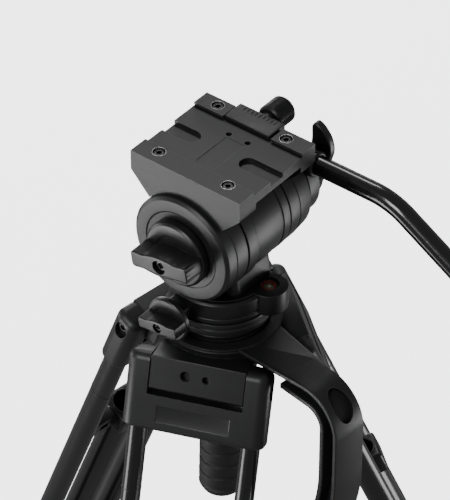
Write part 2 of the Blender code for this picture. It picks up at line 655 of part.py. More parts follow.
def crown():
    body = turned([(0, -0.0006), (RIM_R - 0.0008, -0.0006), (RIM_R, -0.0014), (RIM_R, -0.0036),
                   (RIM_R - 0.0012, -0.0042), (RIM_R - 0.0012, -0.0060), (RIM_R - 0.001, -0.0130)]
                  + [(BOWL_OUTER * cos(radians(a)), -BOWL_OUTER * sin(radians(a)))
                     for a in (20, 32, 44, 56, 68)] + [(0, -BOWL_OUTER * sin(radians(68)))])
    lobe_half = BRACKET_OPEN - 0.0005
    for i in range(3):
        nose = arc((0, 0), LOBE_R, 32, -148, 12)
        nose = [(min(x, LOBE_FRONT), z) for x, z in nose]
        profile = nose + [(-0.022, -0.011), (-0.022, 0.0140)]
        lobe = plate(profile, 2 * lobe_half, Matrix(((1, 0, 0, 0), (0, 0, -1, 0), (0, 1, 0, 0), (0, 0, 0, 1))))
        lobe.transform(leg_frame(i))
        body = join(body, lobe)
    inner = BALL_R + 0.0004
    seat_cut = [(0.0, 0.01), (inner + 0.0004, 0.01)] + \
               [(inner * cos(radians(a)), -inner * sin(radians(a))) for a in range(0, 81, 10)] + \
               [(0.0, -inner)]
    body = cut(body, turned(seat_cut), rod((0, 0, -0.08), (0, 0, 0), 0.0165, SEG_MID))
    clear = ring(BOWL_OUTER + AIR, 0.075, -0.075, -0.0410)
    for i in range(3):
        bore = rod((0, -0.05, 0), (0, 0.05, 0), BOLT_R + FIT, SEG_SMALL)
        bore.transform(leg_frame(i))
        body = cut(body, bore)
    holes = []
    for y, radius in ((-0.0095, 0.0040), (0.0068, 0.0027)):
        hole = rod((LOBE_FRONT + 0.006, y, -0.002), (LOBE_FRONT - 0.0070, y, -0.002), radius, SEG_MID)
        hole.transform(leg_frame(0))
        holes.append(hole)
    return cut(body, *holes, clear)


seat("crown", crown(), CASTING, rim)


def hinge_pin(index):
    """Axle of one leg hinge, with a socket head in each of the bracket's pockets."""
    ends = []
    for side in (-1, 1):
        top = (0, side * (BRACKET_HALF - 0.0016), 0)
        ends.append(socket_screw(top, (0, side, 0), BOLT_HEAD_R, 0.0034, BOLT_R, 0.0300))
    middle = rod((0, -BRACKET_OPEN, 0), (0, BRACKET_OPEN, 0), BOLT_R, SEG_SMALL)
    pin = join(middle, *ends)
    pin.transform(leg_frame(index))
    return pin


for i in range(3):
    seat("hinge_pin_" + str(i + 1), hinge_pin(i), SCREWS, rim)


# ---------------------------------------------------------------- carry handle
ARM_TOP = -0.0012
BEND_R = 0.0340
BEND_X = 0.1087
STRAIGHT_END = -0.0800
HOOK_R = 0.1600
HOOK_ANGLE = 32
ROOT_X = RIM_R + FIT
GUSSET_X = 0.0795


def handle_frame():
    """Handle outlines are drawn as (outwards, up) and stand in the handle's upright plane."""
    upright = Matrix(((1, 0, 0, 0), (0, 0, -1, 0), (0, 1, 0, 0), (0, 0, 0, 1)))
    return Matrix.Rotation(radians(HANDLE_AZIMUTH), 4, 'Z') @ upright


def strap_path(inset, start, short=0.0):
    """The handle's outer line moved inwards by inset, ending short degrees before the tip."""
    bend = arc((BEND_X, ARM_TOP - BEND_R), BEND_R - inset, 90, 0, 8)
    hook = arc((BEND_X + BEND_R - HOOK_R, STRAIGHT_END), HOOK_R - inset, 0, short - HOOK_ANGLE, 6)
    return [(start, ARM_TOP - inset)] + bend + hook


def cap_shape(shrink, low, high):
    """Oval prism through the handle's bend, from low to high measured at the strap."""
    lean = radians(44)
    centre = Matrix.Translation((BEND_X, 0, ARM_TOP - BEND_R))
    tip = Matrix.Rotation(pi / 2 - lean, 4, 'Y')
    depth = high - low
    prism = plate(oval((0, 0), 0.0150 - shrink, 0.0088 - shrink, SEG_MID), depth,
                  Matrix.Translation((0, 0, BEND_R - STRAP_T + low + depth / 2)))
    prism.transform(Matrix.Rotation(radians(HANDLE_AZIMUTH), 4, 'Z') @ centre @ tip)
    return prism


def handle_cap():
    lean_arc = arc((BEND_X, ARM_TOP - BEND_R), BEND_R - 0.0016, 84, 2, 12)
    inner_arc = arc((BEND_X, ARM_TOP - BEND_R), BEND_R - STRAP_T + 0.0002, 2, 84, 12)
    sheet = plate(lean_arc + inner_arc, 2 * HANDLE_HALF, handle_frame())
    return boolean(sheet, cap_shape(FIT, -0.008, 0.015), 'INTERSECT')


def cap_opening():
    """The oval opening, cut through the strap and no deeper, so that the web stays whole."""
    relief = arc((BEND_X, ARM_TOP - BEND_R), BEND_R, 84, 2, 10) + \
        arc((BEND_X, ARM_TOP - BEND_R), BEND_R - STRAP_T - 0.0002, 2, 84, 10)
    return boolean(plate(relief, 2 * HANDLE_HALF + 0.002, handle_frame()),
                   cap_shape(0.0, -0.01, 0.02), 'INTERSECT')


def carry_handle():
    def layer(outer, inner, start, width, short):
        outline = strap_path(outer, start, short) + strap_path(inner, start, short)[::-1]
        return plate(outline, width, handle_frame())

    strap = layer(0.0, STRAP_T, BEND_X - 0.02, 2 * HANDLE_HALF, 0.0)
    web = layer(STRAP_T - 0.0005, HANDLE_DEPTH - 0.003, GUSSET_X, 0.0050, 1.0)
    flange = layer(HANDLE_DEPTH - 0.0045, HANDLE_DEPTH, GUSSET_X - 0.0004, 2 * HANDLE_HALF - 0.003, 0.5)
    turn = Matrix.Rotation(radians(HANDLE_AZIMUTH), 4, 'Z')
    arm = plate([(0.030, -0.0235), (BEND_X - 0.0005, 0.0003 - HANDLE_HALF),
                 (BEND_X - 0.0005, HANDLE_HALF - 0.0003),
                 (0.030, 0.0235)], STRAP_T - 0.0004,
                turn @ Matrix.Translation((0, 0, ARM_TOP - STRAP_T / 2)))
    root = block((ROOT_X - 0.004, -0.0055, -0.0200), (GUSSET_X + 0.004, 0.0055, ARM_TOP - 0.001))
    root.transform(turn)
    end_x, end_z = strap_path(0.0, 0.0)[-1]
    tip_half = HANDLE_HALF - 0.0004
    tip = rod((end_x - 0.0100, -tip_half, end_z + 0.0045), (end_x - 0.0100, tip_half, end_z + 0.0045),
              0.0110, SEG_MID)
    tip.transform(turn)
    body = join(strap, arm, web, flange, root, tip)
    return cut(body, rod((0, 0, -0.1), (0, 0, 0.01), ROOT_X, 48), cap_opening())


seat("carry_handle", carry_handle(), CASTING, rim)
seat("handle_cap", handle_cap(), RUBBER, rim)


# ---------------------------------------------------------------- ball clamp below the bowl
LEVEL_SWING = radians(8.0)


def level_cup():
    bearing = BOWL_OUTER + RUN
    steps = [radians(90 - a) for a in range(0, 33, 8)]
    inner = [(bearing * cos(a), -bearing * sin(a)) for a in steps]
    outer = [(CUP_OUTER * cos(a), -CUP_OUTER * sin(a)) for a in steps]
    dome = turned([(0.0, inner[0][1])] + inner[1:] + outer[:0:-1] + [(0.0, outer[0][1])])
    reach = CUP_OUTER * sin(LEVEL_SWING) + 0.0004
    slot = block((-STUD_R - RUN, -reach, -0.06), (STUD_R + RUN, reach, -0.03))
    ends = [rod((0, s * reach, -0.06), (0, s * reach, -0.03), STUD_R + RUN) for s in (-1, 1)]
    return cut(dome, slot, *ends)


def tie_down_grip():
    length = GRIP_TOP - GRIP_BOTTOM
    ribs, profile = 4, [(0.0090, GRIP_TOP), (0.0120, GRIP_TOP - 0.0040)]
    first, last = GRIP_TOP - 0.0100, GRIP_BOTTOM + 0.0060
    pitch = (first - last) / ribs
    for i in range(ribs):
        height = first - pitch * i
        radius = GRIP_R_TOP + (GRIP_R_BOTTOM - GRIP_R_TOP) * (GRIP_TOP - height) / length
        profile += [(radius, height), (radius - 0.0006, height - pitch * 0.9)]
    profile += [(GRIP_R_BOTTOM, last), (GRIP_R_BOTTOM - 0.003, GRIP_BOTTOM), (0, GRIP_BOTTOM)]
    body = turned([(0, GRIP_TOP)] + profile, SEG_MID)
    return cut(body, rod((0, 0, STUD_END - FIT), (0, 0, 0), STUD_R + FIT, SEG_MID))


STUD_END = -0.0850
seat("level_cup", level_cup(), STEEL, rim)
seat("tie_down_stud", rod((0, 0, STUD_END), (0, 0, STUD_TOP), STUD_R, SEG_MID), STEEL, rim)
seat("tie_down_grip", tie_down_grip(), RUBBER, rim)


# ================================================================ legs
HALF_SPACING = TUBE_SPACING / 2
COLLAR_LOW = COLLAR_TOP + COLLAR_HEIGHT
COLLAR_DEEP = 0.0165
LEVER_X = COLLAR_DEEP + 0.0058
LEVER_Z = -(COLLAR_TOP + 0.0160)
LUG_X = -(COLLAR_DEEP + LUG_REACH)
LUG_Z = -(COLLAR_TOP + 0.0140)
LEG_TO_FLOOR = (RIM_HEIGHT - PIVOT_DROP) / cos(LEG_SPREAD)
LOW_TUBE_END = LEG_TO_FLOOR - 0.0220


def rounded_block(low, high, upright, top, bottom):
    """A box with its upright edges rounded first, then its top and bottom rims."""
    body = bmesh.new()
    bmesh.ops.create_cube(body, size=1.0)
    bmesh.ops.scale(body, vec=Vector(high) - Vector(low), verts=body.verts)
    bmesh.ops.translate(body, vec=(Vector(high) + Vector(low)) / 2, verts=body.verts)
    sides = [e for e in body.edges if abs(e.verts[0].co.z - e.verts[1].co.z) > 1e-6]
    bmesh.ops.bevel(body, geom=sides, offset=upright, offset_type='OFFSET', segments=3,
                    profile=0.5, affect='EDGES', clamp_overlap=True)
    for level, width, steps in ((high[2], top, 2), (low[2], bottom, 1)):
        edge = [e for e in body.edges if all(abs(v.co.z - level) < 1e-6 for v in e.verts)]
        bmesh.ops.bevel(body, geom=edge, offset=width, offset_type='OFFSET', segments=steps,
                        profile=0.5, affect='EDGES', clamp_overlap=True)
    mesh = bpy.data.meshes.new("rounded")
    body.to_mesh(mesh)
    body.free()
    return mesh


def oval_bar(y, low, high, grow, hollow=False):
    outline = oval((0, y), TUBE_A + grow, TUBE_B + grow, SEG_MID)
    holes = [oval((0, y), TUBE_A - TUBE_WALL, TUBE_B - TUBE_WALL, SEG_MID)] if hollow else []
    return plate(outline, high - low, Matrix.Translation((0, 0, (low + high) / 2)), holes)


def shoulder_bracket():
    body = rounded_block((-BRACKET_DEEP, -BRACKET_HALF, -BAR_BOTTOM),
                         (BRACKET_DEEP, BRACKET_HALF, COLUMN_TOP), 0.0090, 0.0070, 0.0030)
    tools = [block((-0.03, -BRACKET_OPEN, -BAR_TOP), (0.03, BRACKET_OPEN, 0.03)),
             rod((0, -0.07, 0), (0, 0.07, 0), BOLT_R + FIT, SEG_SMALL)]
    for side in (-1, 1):
        tools.append(oval_bar(side * HALF_SPACING, -BAR_BOTTOM - 0.01, -BAR_BOTTOM + SOCKET_DEPTH, FIT))
        pocket = oval((0, -0.0030), 0.0060, 0.0092, SEG_MID)
        tools.append(plate(pocket, 0.0120, Matrix(((1, 0, 0, 0), (0, 0, -1, side * (BRACKET_HALF + 0.0008)),
                                                   (0, 1, 0, 0), (0, 0, 0, 1)))))
    return cut(body, *tools)


def leg_collar():
    body = rounded_block((-COLLAR_DEEP, -BRACKET_HALF, -COLLAR_LOW), (COLLAR_DEEP, BRACKET_HALF, -COLLAR_TOP),
                         0.0090, 0.0025, 0.0025)
    lug = rod((LUG_X, -0.0021, LUG_Z), (LUG_X, 0.0021, LUG_Z), 0.0055, SEG_MID)
    lug_foot = block((LUG_X, -0.0021, LUG_Z - 0.0055), (-COLLAR_DEEP + 0.002, 0.0021, LUG_Z + 0.0055))
    ears = []
    for side in (-1, 1):
        a, b = sorted((side * 0.0100, side * 0.0135))
        ears.append(rod((LEVER_X, a, LEVER_Z), (LEVER_X, b, LEVER_Z), 0.0052, SEG_MID))
        ears.append(block((COLLAR_DEEP - 0.002, a, LEVER_Z - 0.0050), (LEVER_X, b, LEVER_Z + 0.0050)))
    pin = rod((LEVER_X, -0.0120, LEVER_Z), (LEVER_X, 0.0120, LEVER_Z), 0.0018, SEG_SMALL)
    body = join(body, lug, lug_foot, *ears, pin)
    bore = rod((0, 0, -COLLAR_LOW - 0.01), (0, 0, -COLLAR_TOP + 0.01), LOW_TUBE_R + RUN, SEG_MID)
    sockets = [oval_bar(side * HALF_SPACING, -COLLAR_LOW + 0.0060, -COLLAR_TOP + 0.01, FIT)
               for side in (-1, 1)]
    return cut(body, bore, *sockets)


def flip_lever():
    outline = arc((0, 0), 0.0050, 200, 20, 8) + [(0.0056, -0.0080), (0.0062, -0.0300),
                                                 (0.0040, -0.0330), (-0.0010, -0.0300), (-0.0012, -0.0080)]
    frame = Matrix(((1, 0, 0, LEVER_X), (0, 0, -1, 0), (0, 1, 0, LEVER_Z), (0, 0, 0, 1)))
    lever = plate(outline, 0.0192, frame)
    return cut(lever, rod((LEVER_X, -0.02, LEVER_Z), (LEVER_X, 0.02, LEVER_Z), 0.0018 + RUN, SEG_SMALL))


def lower_tube():
    """The sliding tube with its guide, which runs between the two upper tubes."""
    tube = ring(LOW_TUBE_R - LOW_TUBE_WALL, LOW_TUBE_R, -LOW_TUBE_END, -LOW_TUBE_TOP, SEG_MID)
    guide_half = HALF_SPACING - TUBE_B - 0.0006
    guide = block((-0.0150, -0.0150, -LOW_TUBE_TOP - 0.0220), (0.0150, 0.0150, -LOW_TUBE_TOP - 0.0010),
                  0.002, 1)
    wings = block((-0.0050, -guide_half, -LOW_TUBE_TOP - 0.0200),
                  (0.0050, guide_half, -LOW_TUBE_TOP - 0.0030))
    core = rod((0, 0, -LOW_TUBE_TOP - 0.03), (0, 0, -LOW_TUBE_TOP + 0.01), LOW_TUBE_R - 0.0004, SEG_MID)
    return join(tube, cut(join(guide, wings), core))


def foot(index):
    neck_r, boot_r, sole_r = LOW_TUBE_R + 0.0030, LOW_TUBE_R + 0.0060, LOW_TUBE_R + 0.0080
    boot = join(rod((0, 0, -LEG_TO_FLOOR + FOOT_HEIGHT), (0, 0, -LEG_TO_FLOOR + 0.0260), neck_r, SEG_MID, boot_r),
                rod((0, 0, -LEG_TO_FLOOR + 0.0262), (0, 0, -LEG_TO_FLOOR - 0.0120), boot_r, SEG_MID, sole_r))
    boot = cut(boot, rod((0, 0, -LOW_TUBE_END - FIT), (0, 0, 0), LOW_TUBE_R + FIT, SEG))
    floor = block((-0.1, -0.1, -0.1), (0.1, 0.1, 0.0))
    below = Matrix.Translation((PIVOT_RADIUS + LEG_TO_FLOOR * sin(LEG_SPREAD), 0, -RIM_HEIGHT))
    floor.transform(leg_frame(index).inverted() @ Matrix.Rotation(radians(LEG_AZIMUTHS[index]), 4, 'Z') @ below)
    return cut(boot, floor)


def leg_axis_point(distance):
    return (0.0, 0.0, -distance)


for i in range(3):
    number = str(i + 1)
    frame = leg_frame(i)
    hinge = empty("leg_hinge_" + number, frame.translation, rim, frame.to_3x3().to_4x4())
    seat("shoulder_bracket_" + number, shoulder_bracket(), CASTING, hinge)
    for letter, side in (("a", -1), ("b", 1)):
        tube = oval_bar(side * HALF_SPACING, -COLLAR_LOW + 0.0065, -BAR_BOTTOM + SOCKET_DEPTH - FIT, 0.0, True)
        seat("upper_tube_" + number + letter, tube, TUBE, hinge)
    seat("leg_collar_" + number, leg_collar(), CASTING, hinge)
    seat("lock_lever_" + number, flip_lever(), PLASTIC, hinge, (LEVER_X, 0, LEVER_Z))
    seat("lower_tube_" + number, lower_tube(), TUBE, hinge, leg_axis_point(LOW_TUBE_TOP))
    seat("foot_" + number, foot(i), RUBBER, hinge, leg_axis_point(LOW_TUBE_END))


# ================================================================ spreader
HUB_PIVOT_R = 0.0170
PIN_R = 0.0016


def lug_place():
    """The collar's lug in the leg's upright plane: distance from the pan axis and height."""
    radial = PIVOT_RADIUS + LUG_X * cos(LEG_SPREAD) - LUG_Z * sin(LEG_SPREAD)
    height = -PIVOT_DROP + LUG_X * sin(LEG_SPREAD) + LUG_Z * cos(LEG_SPREAD)
    return radial, height


def spreader_hub():
    body = rod((0, 0, -HUB_DROP - 0.0080), (0, 0, -HUB_DROP + 0.0080), HUB_R, SEG_MID)
    body = join(body, rod((0, 0, -HUB_DROP + 0.0075), (0, 0, -HUB_DROP + 0.0130), 0.0100, SEG_MID, 0.0080))
    for azimuth in LEG_AZIMUTHS:
        turn = Matrix.Rotation(radians(azimuth), 4, 'Z')
        slot = block((HUB_PIVOT_R - 0.0056, -0.0036, -HUB_DROP - 0.02), (0.04, 0.0036, -HUB_DROP + 0.02))
        pin = rod((HUB_PIVOT_R, -0.0050, -HUB_DROP), (HUB_PIVOT_R, 0.0050, -HUB_DROP), PIN_R, SEG_SMALL)
        slot.transform(turn)
        pin.transform(turn)
        body = join(cut(body, slot), pin)
    return body


def spreader_arm(index):
    radial, height = lug_place()
    run = Vector((radial - HUB_PIVOT_R, 0, height + HUB_DROP))
    lean = Matrix.Rotation(atan2(-run.z, run.x), 4, 'Y')
    length = run.length
    upright = Matrix(((1, 0, 0, 0), (0, 0, -1, 0), (0, 1, 0, 0), (0, 0, 0, 1)))
    bar = arc((0, 0), 0.0045, 90, 270, 8) + [(length - 0.030, -0.0045), (length - 0.030, 0.0045)]
    fork = [(length - 0.0440, -0.0045), (length - 0.0360, -0.0052)] + \
        arc((length, 0), 0.0052, -90, 90, 8) + [(length - 0.0360, 0.0052), (length - 0.0440, 0.0045)]
    body = join(plate(bar, 0.0060, upright), plate(fork, 0.0104, upright))
    slot = block((length - 0.0300, -0.0026, -0.02), (length + 0.02, 0.0026, 0.02))
    body = cut(body, slot, rod((0, -0.01, 0), (0, 0.01, 0), PIN_R + RUN, SEG_SMALL))
    place = Matrix.Translation((HUB_PIVOT_R, 0, -HUB_DROP))
    body.transform(Matrix.Rotation(radians(LEG_AZIMUTHS[index]), 4, 'Z') @ place @ lean)
    return body


seat("spreader_hub", spreader_hub(), PLASTIC, rim)
for i in range(3):
    turn = Matrix.Rotation(radians(LEG_AZIMUTHS[i]), 4, 'Z')
    pivot = turn @ Vector((HUB_PIVOT_R, 0, -HUB_DROP))
    seat("spreader_arm_" + str(i + 1), spreader_arm(i), CASTING, rim, pivot)
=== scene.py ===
"""Visual model of a fluid head on a twin-tube tripod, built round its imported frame.

World frame: metres, +Z up, origin on the floor under the pan axis.  X is the tilt axis
(towards the pan handle), +Y is where a lens would look, the operator stands at -Y.
Pieces of the head are drawn in the head's own frame, whose origin is the middle of the
bowl's rim.  Pieces of a leg are drawn in the leg's frame: origin on its hinge, X outwards,
Y sideways, Z up along the leg.
"""
import json
from math import atan2, cos, pi, radians, sin

import bmesh
import bpy
from mathutils import Matrix, Vector


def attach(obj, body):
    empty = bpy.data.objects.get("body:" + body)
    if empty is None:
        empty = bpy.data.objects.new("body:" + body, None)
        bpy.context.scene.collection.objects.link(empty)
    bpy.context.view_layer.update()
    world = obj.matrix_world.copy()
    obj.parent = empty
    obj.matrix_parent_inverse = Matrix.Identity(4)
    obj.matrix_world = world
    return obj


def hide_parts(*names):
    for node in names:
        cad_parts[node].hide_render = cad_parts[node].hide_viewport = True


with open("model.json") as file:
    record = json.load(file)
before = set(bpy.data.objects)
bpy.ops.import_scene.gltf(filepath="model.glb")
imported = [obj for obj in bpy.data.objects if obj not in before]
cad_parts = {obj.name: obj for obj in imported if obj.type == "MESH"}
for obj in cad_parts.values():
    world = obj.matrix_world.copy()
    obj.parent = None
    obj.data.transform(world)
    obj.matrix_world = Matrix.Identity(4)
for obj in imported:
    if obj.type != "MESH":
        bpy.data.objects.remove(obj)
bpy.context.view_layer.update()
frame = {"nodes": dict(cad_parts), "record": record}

# ================================================================ driving sizes
RIM_HEIGHT = 0.600
LEG_AZIMUTHS = (201.5, 321.5, 441.5)
LEG_SPREAD = radians(22.0)
PIVOT_RADIUS = 0.0537
PIVOT_DROP = 0.0190
HALF_SPACING = 0.0454    # leg axis to the axis of an upper tube
TUBE_A, TUBE_B = 0.0100, 0.0075
BRACKET_HALF = 0.0572
BRACKET_OPEN = 0.0386
BRACKET_DEEP = 0.0122
COLUMN_TOP = 0.0115
BAR_TOP, BAR_BOTTOM = 0.0215, 0.0510
SOCKET_DEPTH = 0.0245
COLLAR_TOP = 0.455
COLLAR_LOW = 0.503
COLLAR_DEEP = 0.0165
LOW_TUBE_R = 0.0125
LOW_TUBE_TOP = 0.165
LEG_TO_FLOOR = (RIM_HEIGHT - PIVOT_DROP) / cos(LEG_SPREAD)
LOW_TUBE_END = LEG_TO_FLOOR - 0.0220
FOOT_HEIGHT = 0.050
LEVER_X, LEVER_Z = COLLAR_DEEP + 0.0058, -(COLLAR_TOP + 0.0160)
LUG_REACH = 0.0135
LUG_X, LUG_Z = -(COLLAR_DEEP + LUG_REACH), -(COLLAR_TOP + 0.0140)

RIM_R = 0.0476
BALL_R = 0.0372
BOWL_OUTER = 0.0444
LOBE_R, LOBE_FRONT = 0.0198, 0.0115
CUP_OUTER = 0.0495
STUD_R = 0.0050
GRIP_TOP, GRIP_BOTTOM = -0.0530, -0.1850
GRIP_R_TOP, GRIP_R_BOTTOM = 0.0165, 0.0190
HANDLE_AZIMUTH = 261.5
HANDLE_HALF = 0.0150
STRAP_T = 0.0040
HANDLE_DEPTH = 0.0200
ARM_TOP = -0.0012
BEND_R, BEND_X = 0.0340, 0.1087
STRAIGHT_END = -0.0800
HOOK_R, HOOK_ANGLE = 0.1600, 32

BASE_R, BASE_LOW, BASE_TOP = 0.0406, 0.0072, 0.0184
NECK_R = 0.0362
DISC_LOW, DISC_TOP = 0.0200, 0.0398
SPINDLE_R = 0.0085
BOSS_X, BOSS_Y, BOSS_R = 0.0100, -0.0380, 0.0155
VIAL_R = 0.0083

TILT_Z = 0.0927
DRUM_R, DRUM_L_FACE, DRUM_L_END = 0.0454, -0.0497, -0.0242
CORE_L, CORE_R, CORE_RADIUS = -0.0230, 0.0296, 0.0440
DRUM_R_START, DRUM_R_FACE = 0.0308, 0.0592
DRUM_R_R, DRUM_R_TIP = 0.0435, 0.0420
SHAFT_R = 0.0060
TILT_KNOB_R = 0.0277
TILT_KNOB_FACE = DRUM_L_FACE - 0.0006
PAN_KNOB_R = 0.0188
PAN_KNOB_FACE = -0.0540
PAN_KNOB_Y, PAN_KNOB_Z = 0.0065, 0.0260
KNOB_LEAN = radians(-9.0)

DECK_X0, DECK_X1 = -0.0437, 0.0480
DECK_Y0, DECK_Y1 = -0.0514, 0.0524
DECK_TOP, DECK_FLOOR, DECK_UNDER = 0.1590, 0.1558, 0.1475
RAIL_IN, FAR_RAIL_IN = -0.0260, 0.0320
SLOT_W, SLOT_X, SLOT_FLOOR = 0.0149, 0.0010, 0.1521
JAW_Y0, JAW_Y1, JAW_LIP = -0.0193, 0.0235, 0.0528
SCREW_Y, SCREW_Z = 0.0005, 0.1505
CLAMP_KNOB_R = 0.0112
PLATE_SCREWS = ((0.0405, 0.0358), (0.0398, -0.0303), (-0.0315, 0.0346), (-0.0310, -0.0306))

HOLDER_R, HOLDER_X0, HOLDER_X1 = 0.0368, 0.0600, 0.0800
BAR_X, BAR_Z, BAR_R = 0.0700, 0.1190, 0.0080
BARREL_R = 0.0108
BAR_START, BAR_BEND = -0.0100, -0.1080
BAR_DROP, BAR_LENGTH = radians(31.0), 0.2350
HAND_GRIP, HAND_GRIP_R = 0.1250, 0.0150

HUB_DROP, HUB_R, HUB_PIVOT_R = 0.2750, 0.0220, 0.0170
PIN_R = 0.0016
FIT, RUN = 0.0003, 0.0004
ROUND = 96               # facets round a large circle
FINE = 48                # facets round a tube, bore or boss
SMALL = 28               # facets round a screw

HEAD = Matrix.Translation((0.0, 0.0, RIM_HEIGHT))
TILT = Matrix.Translation((0.0, 0.0, RIM_HEIGHT + TILT_Z))


# ================================================================ finishes
class Value:
    """A socket of a finish.  Arithmetic on it adds Math nodes to that finish."""

    def __init__(self, finish, socket):
        self.finish = finish
        self.socket = socket

    def work(self, operation, first, second=0.0):
        return self.finish.node('ShaderNodeMath', {'operation': operation}, {0: first, 1: second})

    def __add__(self, other):
        return self.work('ADD', self, other)

    def __radd__(self, other):
        return self.work('ADD', other, self)

    def __sub__(self, other):
        return self.work('SUBTRACT', self, other)

    def __rsub__(self, other):
        return self.work('SUBTRACT', other, self)

    def __mul__(self, other):
        return self.work('MULTIPLY', self, other)

    def __rmul__(self, other):
        return self.work('MULTIPLY', other, self)

    def __truediv__(self, other):
        return self.work('DIVIDE', self, other)

    def __pow__(self, other):
        return self.work('POWER', self, other)

    def clipped(self):
        """Held between nought and one."""
        return self.work('MINIMUM', self.work('MAXIMUM', self, 0.0), 1.0)

    def above(self, edge, width):
        """Rises from nought to one over a width that starts at edge."""
        return ((self - edge) / width).clipped()


class Finish:
    """A material: one Principled BSDF and whatever nodes are asked for."""

    def __init__(self, name, **constants):
        self.material = bpy.data.materials.new(name)
        self.material.use_nodes = True
        self.tree = self.material.node_tree
        self.shader = self.tree.nodes["Principled BSDF"]
        for socket, value in constants.items():
            self.shader.inputs[socket.replace("_", " ")].default_value = value
        self.place = self.node('ShaderNodeTexCoord', output='Object')

    def node(self, kind, settings=None, inputs=None, output=0):
        made = self.tree.nodes.new(kind)
        for key, value in (settings or {}).items():
            setattr(made, key, value)
        for socket, value in (inputs or {}).items():
            if isinstance(value, Value):
                self.tree.links.new(value.socket, made.inputs[socket])
            else:
                made.inputs[socket].default_value = value
        return Value(self, made.outputs[output])

    def feed(self, socket, value):
        self.tree.links.new(value.socket, self.shader.inputs[socket])

    def mix(self, factor, first, second):
        """From the first colour to the second as factor goes from nought to one."""
        sides = {'Factor': factor}
        for index, colour in ((6, first), (7, second)):
            sides[index] = colour if isinstance(colour, Value) else (*colour, 1.0)
        return self.node('ShaderNodeMix', {'data_type': 'RGBA'}, sides, 2)

    def noise(self, size, detail=3.0, roughness=0.55, stretch=None):
        """Cloudy values about a half, with lumps of the given size in metres."""
        place = self.place
        if stretch is not None:
            place = self.node('ShaderNodeMapping', None, {'Vector': place, 'Scale': stretch})
        return self.node('ShaderNodeTexNoise', None,
                         {'Vector': place, 'Scale': 1.0 / size, 'Detail': detail, 'Roughness': roughness})

    def cells(self, size):
        """Distance from the middle of small cells, nought to about one."""
        return self.node('ShaderNodeTexVoronoi', None,
                         {'Vector': self.place, 'Scale': 1.0 / size, 'Randomness': 1.0})

    def edges(self, radius, strength):
        """One on sharp outer and inner edges, nought on flats."""
        soft = self.node('ShaderNodeBevel', {'samples': 6}, {'Radius': radius})
        flat = self.node('ShaderNodeNewGeometry', output='Normal')
        along = self.node('ShaderNodeVectorMath', {'operation': 'DOT_PRODUCT'}, {0: soft, 1: flat}, 'Value')
        return ((1.0 - along) * strength).clipped()

    def bump(self, height, distance, strength=1.0):
        self.feed('Normal', self.node('ShaderNodeBump', None,
                                      {'Height': height, 'Distance': distance, 'Strength': strength}))


def casting(name, base, wear_and_highlight_colour, roughness, grain):
    """Powder-coated casting: fine orange peel, edges a little brighter for wear and painted highlight, faint
    dust.
    """
    made = Finish(name, Metallic=0.15, Specular_IOR_Level=0.5)
    clouds = made.noise(0.030)
    speck = made.noise(grain, 2.0, 0.6)
    # Edge mask: partly rubbed edges, partly a painted highlight along every sharp edge.
    wear_and_edge_highlight = made.edges(0.0007, 6.0) * made.noise(0.006).above(0.30, 0.35)
    dark = tuple(c * 0.82 for c in base)
    body = made.mix(clouds, dark, tuple(c * 1.15 for c in base))
    flecked = made.mix(speck.above(0.62, 0.10) * 0.30, body, tuple(c * 2.1 for c in base))
    # Edges are painted towards the pale colour: wear and painted highlight together.
    made.feed('Base Color', made.mix(wear_and_edge_highlight * 0.75, flecked, wear_and_highlight_colour))
    made.feed('Roughness', roughness + (speck - 0.5) * 0.25 - wear_and_edge_highlight * 0.10)
    made.bump(speck * 0.7 + made.noise(grain * 3.0) * 0.6, 0.00012, 0.55)
    return made.material


def moulded(name, base, wear_and_highlight_colour, roughness, grain, depth):
    """Moulded nylon or rubber: an even fine grain, paler where hands and edges rub, with painted highlight
    along the edges.
    """
    made = Finish(name, Specular_IOR_Level=0.45)
    speck = made.cells(grain)
    clouds = made.noise(0.018)
    # Edge mask: partly rubbed edges, partly a painted highlight along the edges.
    wear_and_edge_highlight = made.edges(0.0008, 5.0) * clouds.above(0.35, 0.30)
    body = made.mix(clouds, tuple(c * 0.85 for c in base), tuple(c * 1.2 for c in base))
    made.feed('Base Color', made.mix(wear_and_edge_highlight * 0.6, body, wear_and_highlight_colour))
    made.feed('Roughness', roughness + (clouds - 0.5) * 0.16 - wear_and_edge_highlight * 0.08)
    made.bump(speck, depth, 0.45)
    return made.material


def glossy(name, base, roughness, metallic, coat, pale):
    """Anodised or enamelled bar: smooth, with faint drawing streaks and fine dust."""
    made = Finish(name, Coat_Weight=coat, Coat_Roughness=0.06, Specular_IOR_Level=0.55)
    clouds = made.noise(0.045)
    streaks = made.noise(0.004, 2.0, 0.5, (1.0, 1.0, 0.04))
    dust = made.noise(0.0022, 4.0, 0.7).above(0.63, 0.10)
    body = made.mix(clouds, tuple(c * 0.75 for c in base), tuple(c * 1.35 for c in base))
    made.feed('Base Color', made.mix(dust * 0.25, body, pale))
    made.feed('Metallic', metallic - dust * 0.2)
    made.feed('Roughness', roughness + (streaks - 0.5) * 0.10 + dust * 0.18)
    made.bump(streaks, 0.00003, 0.35)
    return made.material


def bare_metal(name, base, tint, roughness, grain):
    """Black-oxided or turned steel: fine tool marks and a little staining."""
    made = Finish(name, Metallic=0.9)
    clouds = made.noise(0.006)
    marks = made.noise(grain, 3.0, 0.6, (0.25, 1.0, 1.0))
    # Edges painted pale: partly wear, partly a painted highlight along the edges.
    wear_and_edge_highlight = made.edges(0.0004, 7.0)
    made.feed('Base Color', made.mix(wear_and_edge_highlight * 0.7, made.mix(clouds, base, tint), (0.42, 0.42, 0.43)))
    made.feed('Roughness', roughness + (clouds - 0.5) * 0.2 + (marks - 0.5) * 0.12)
    made.bump(marks, 0.00004, 0.4)
    return made.material


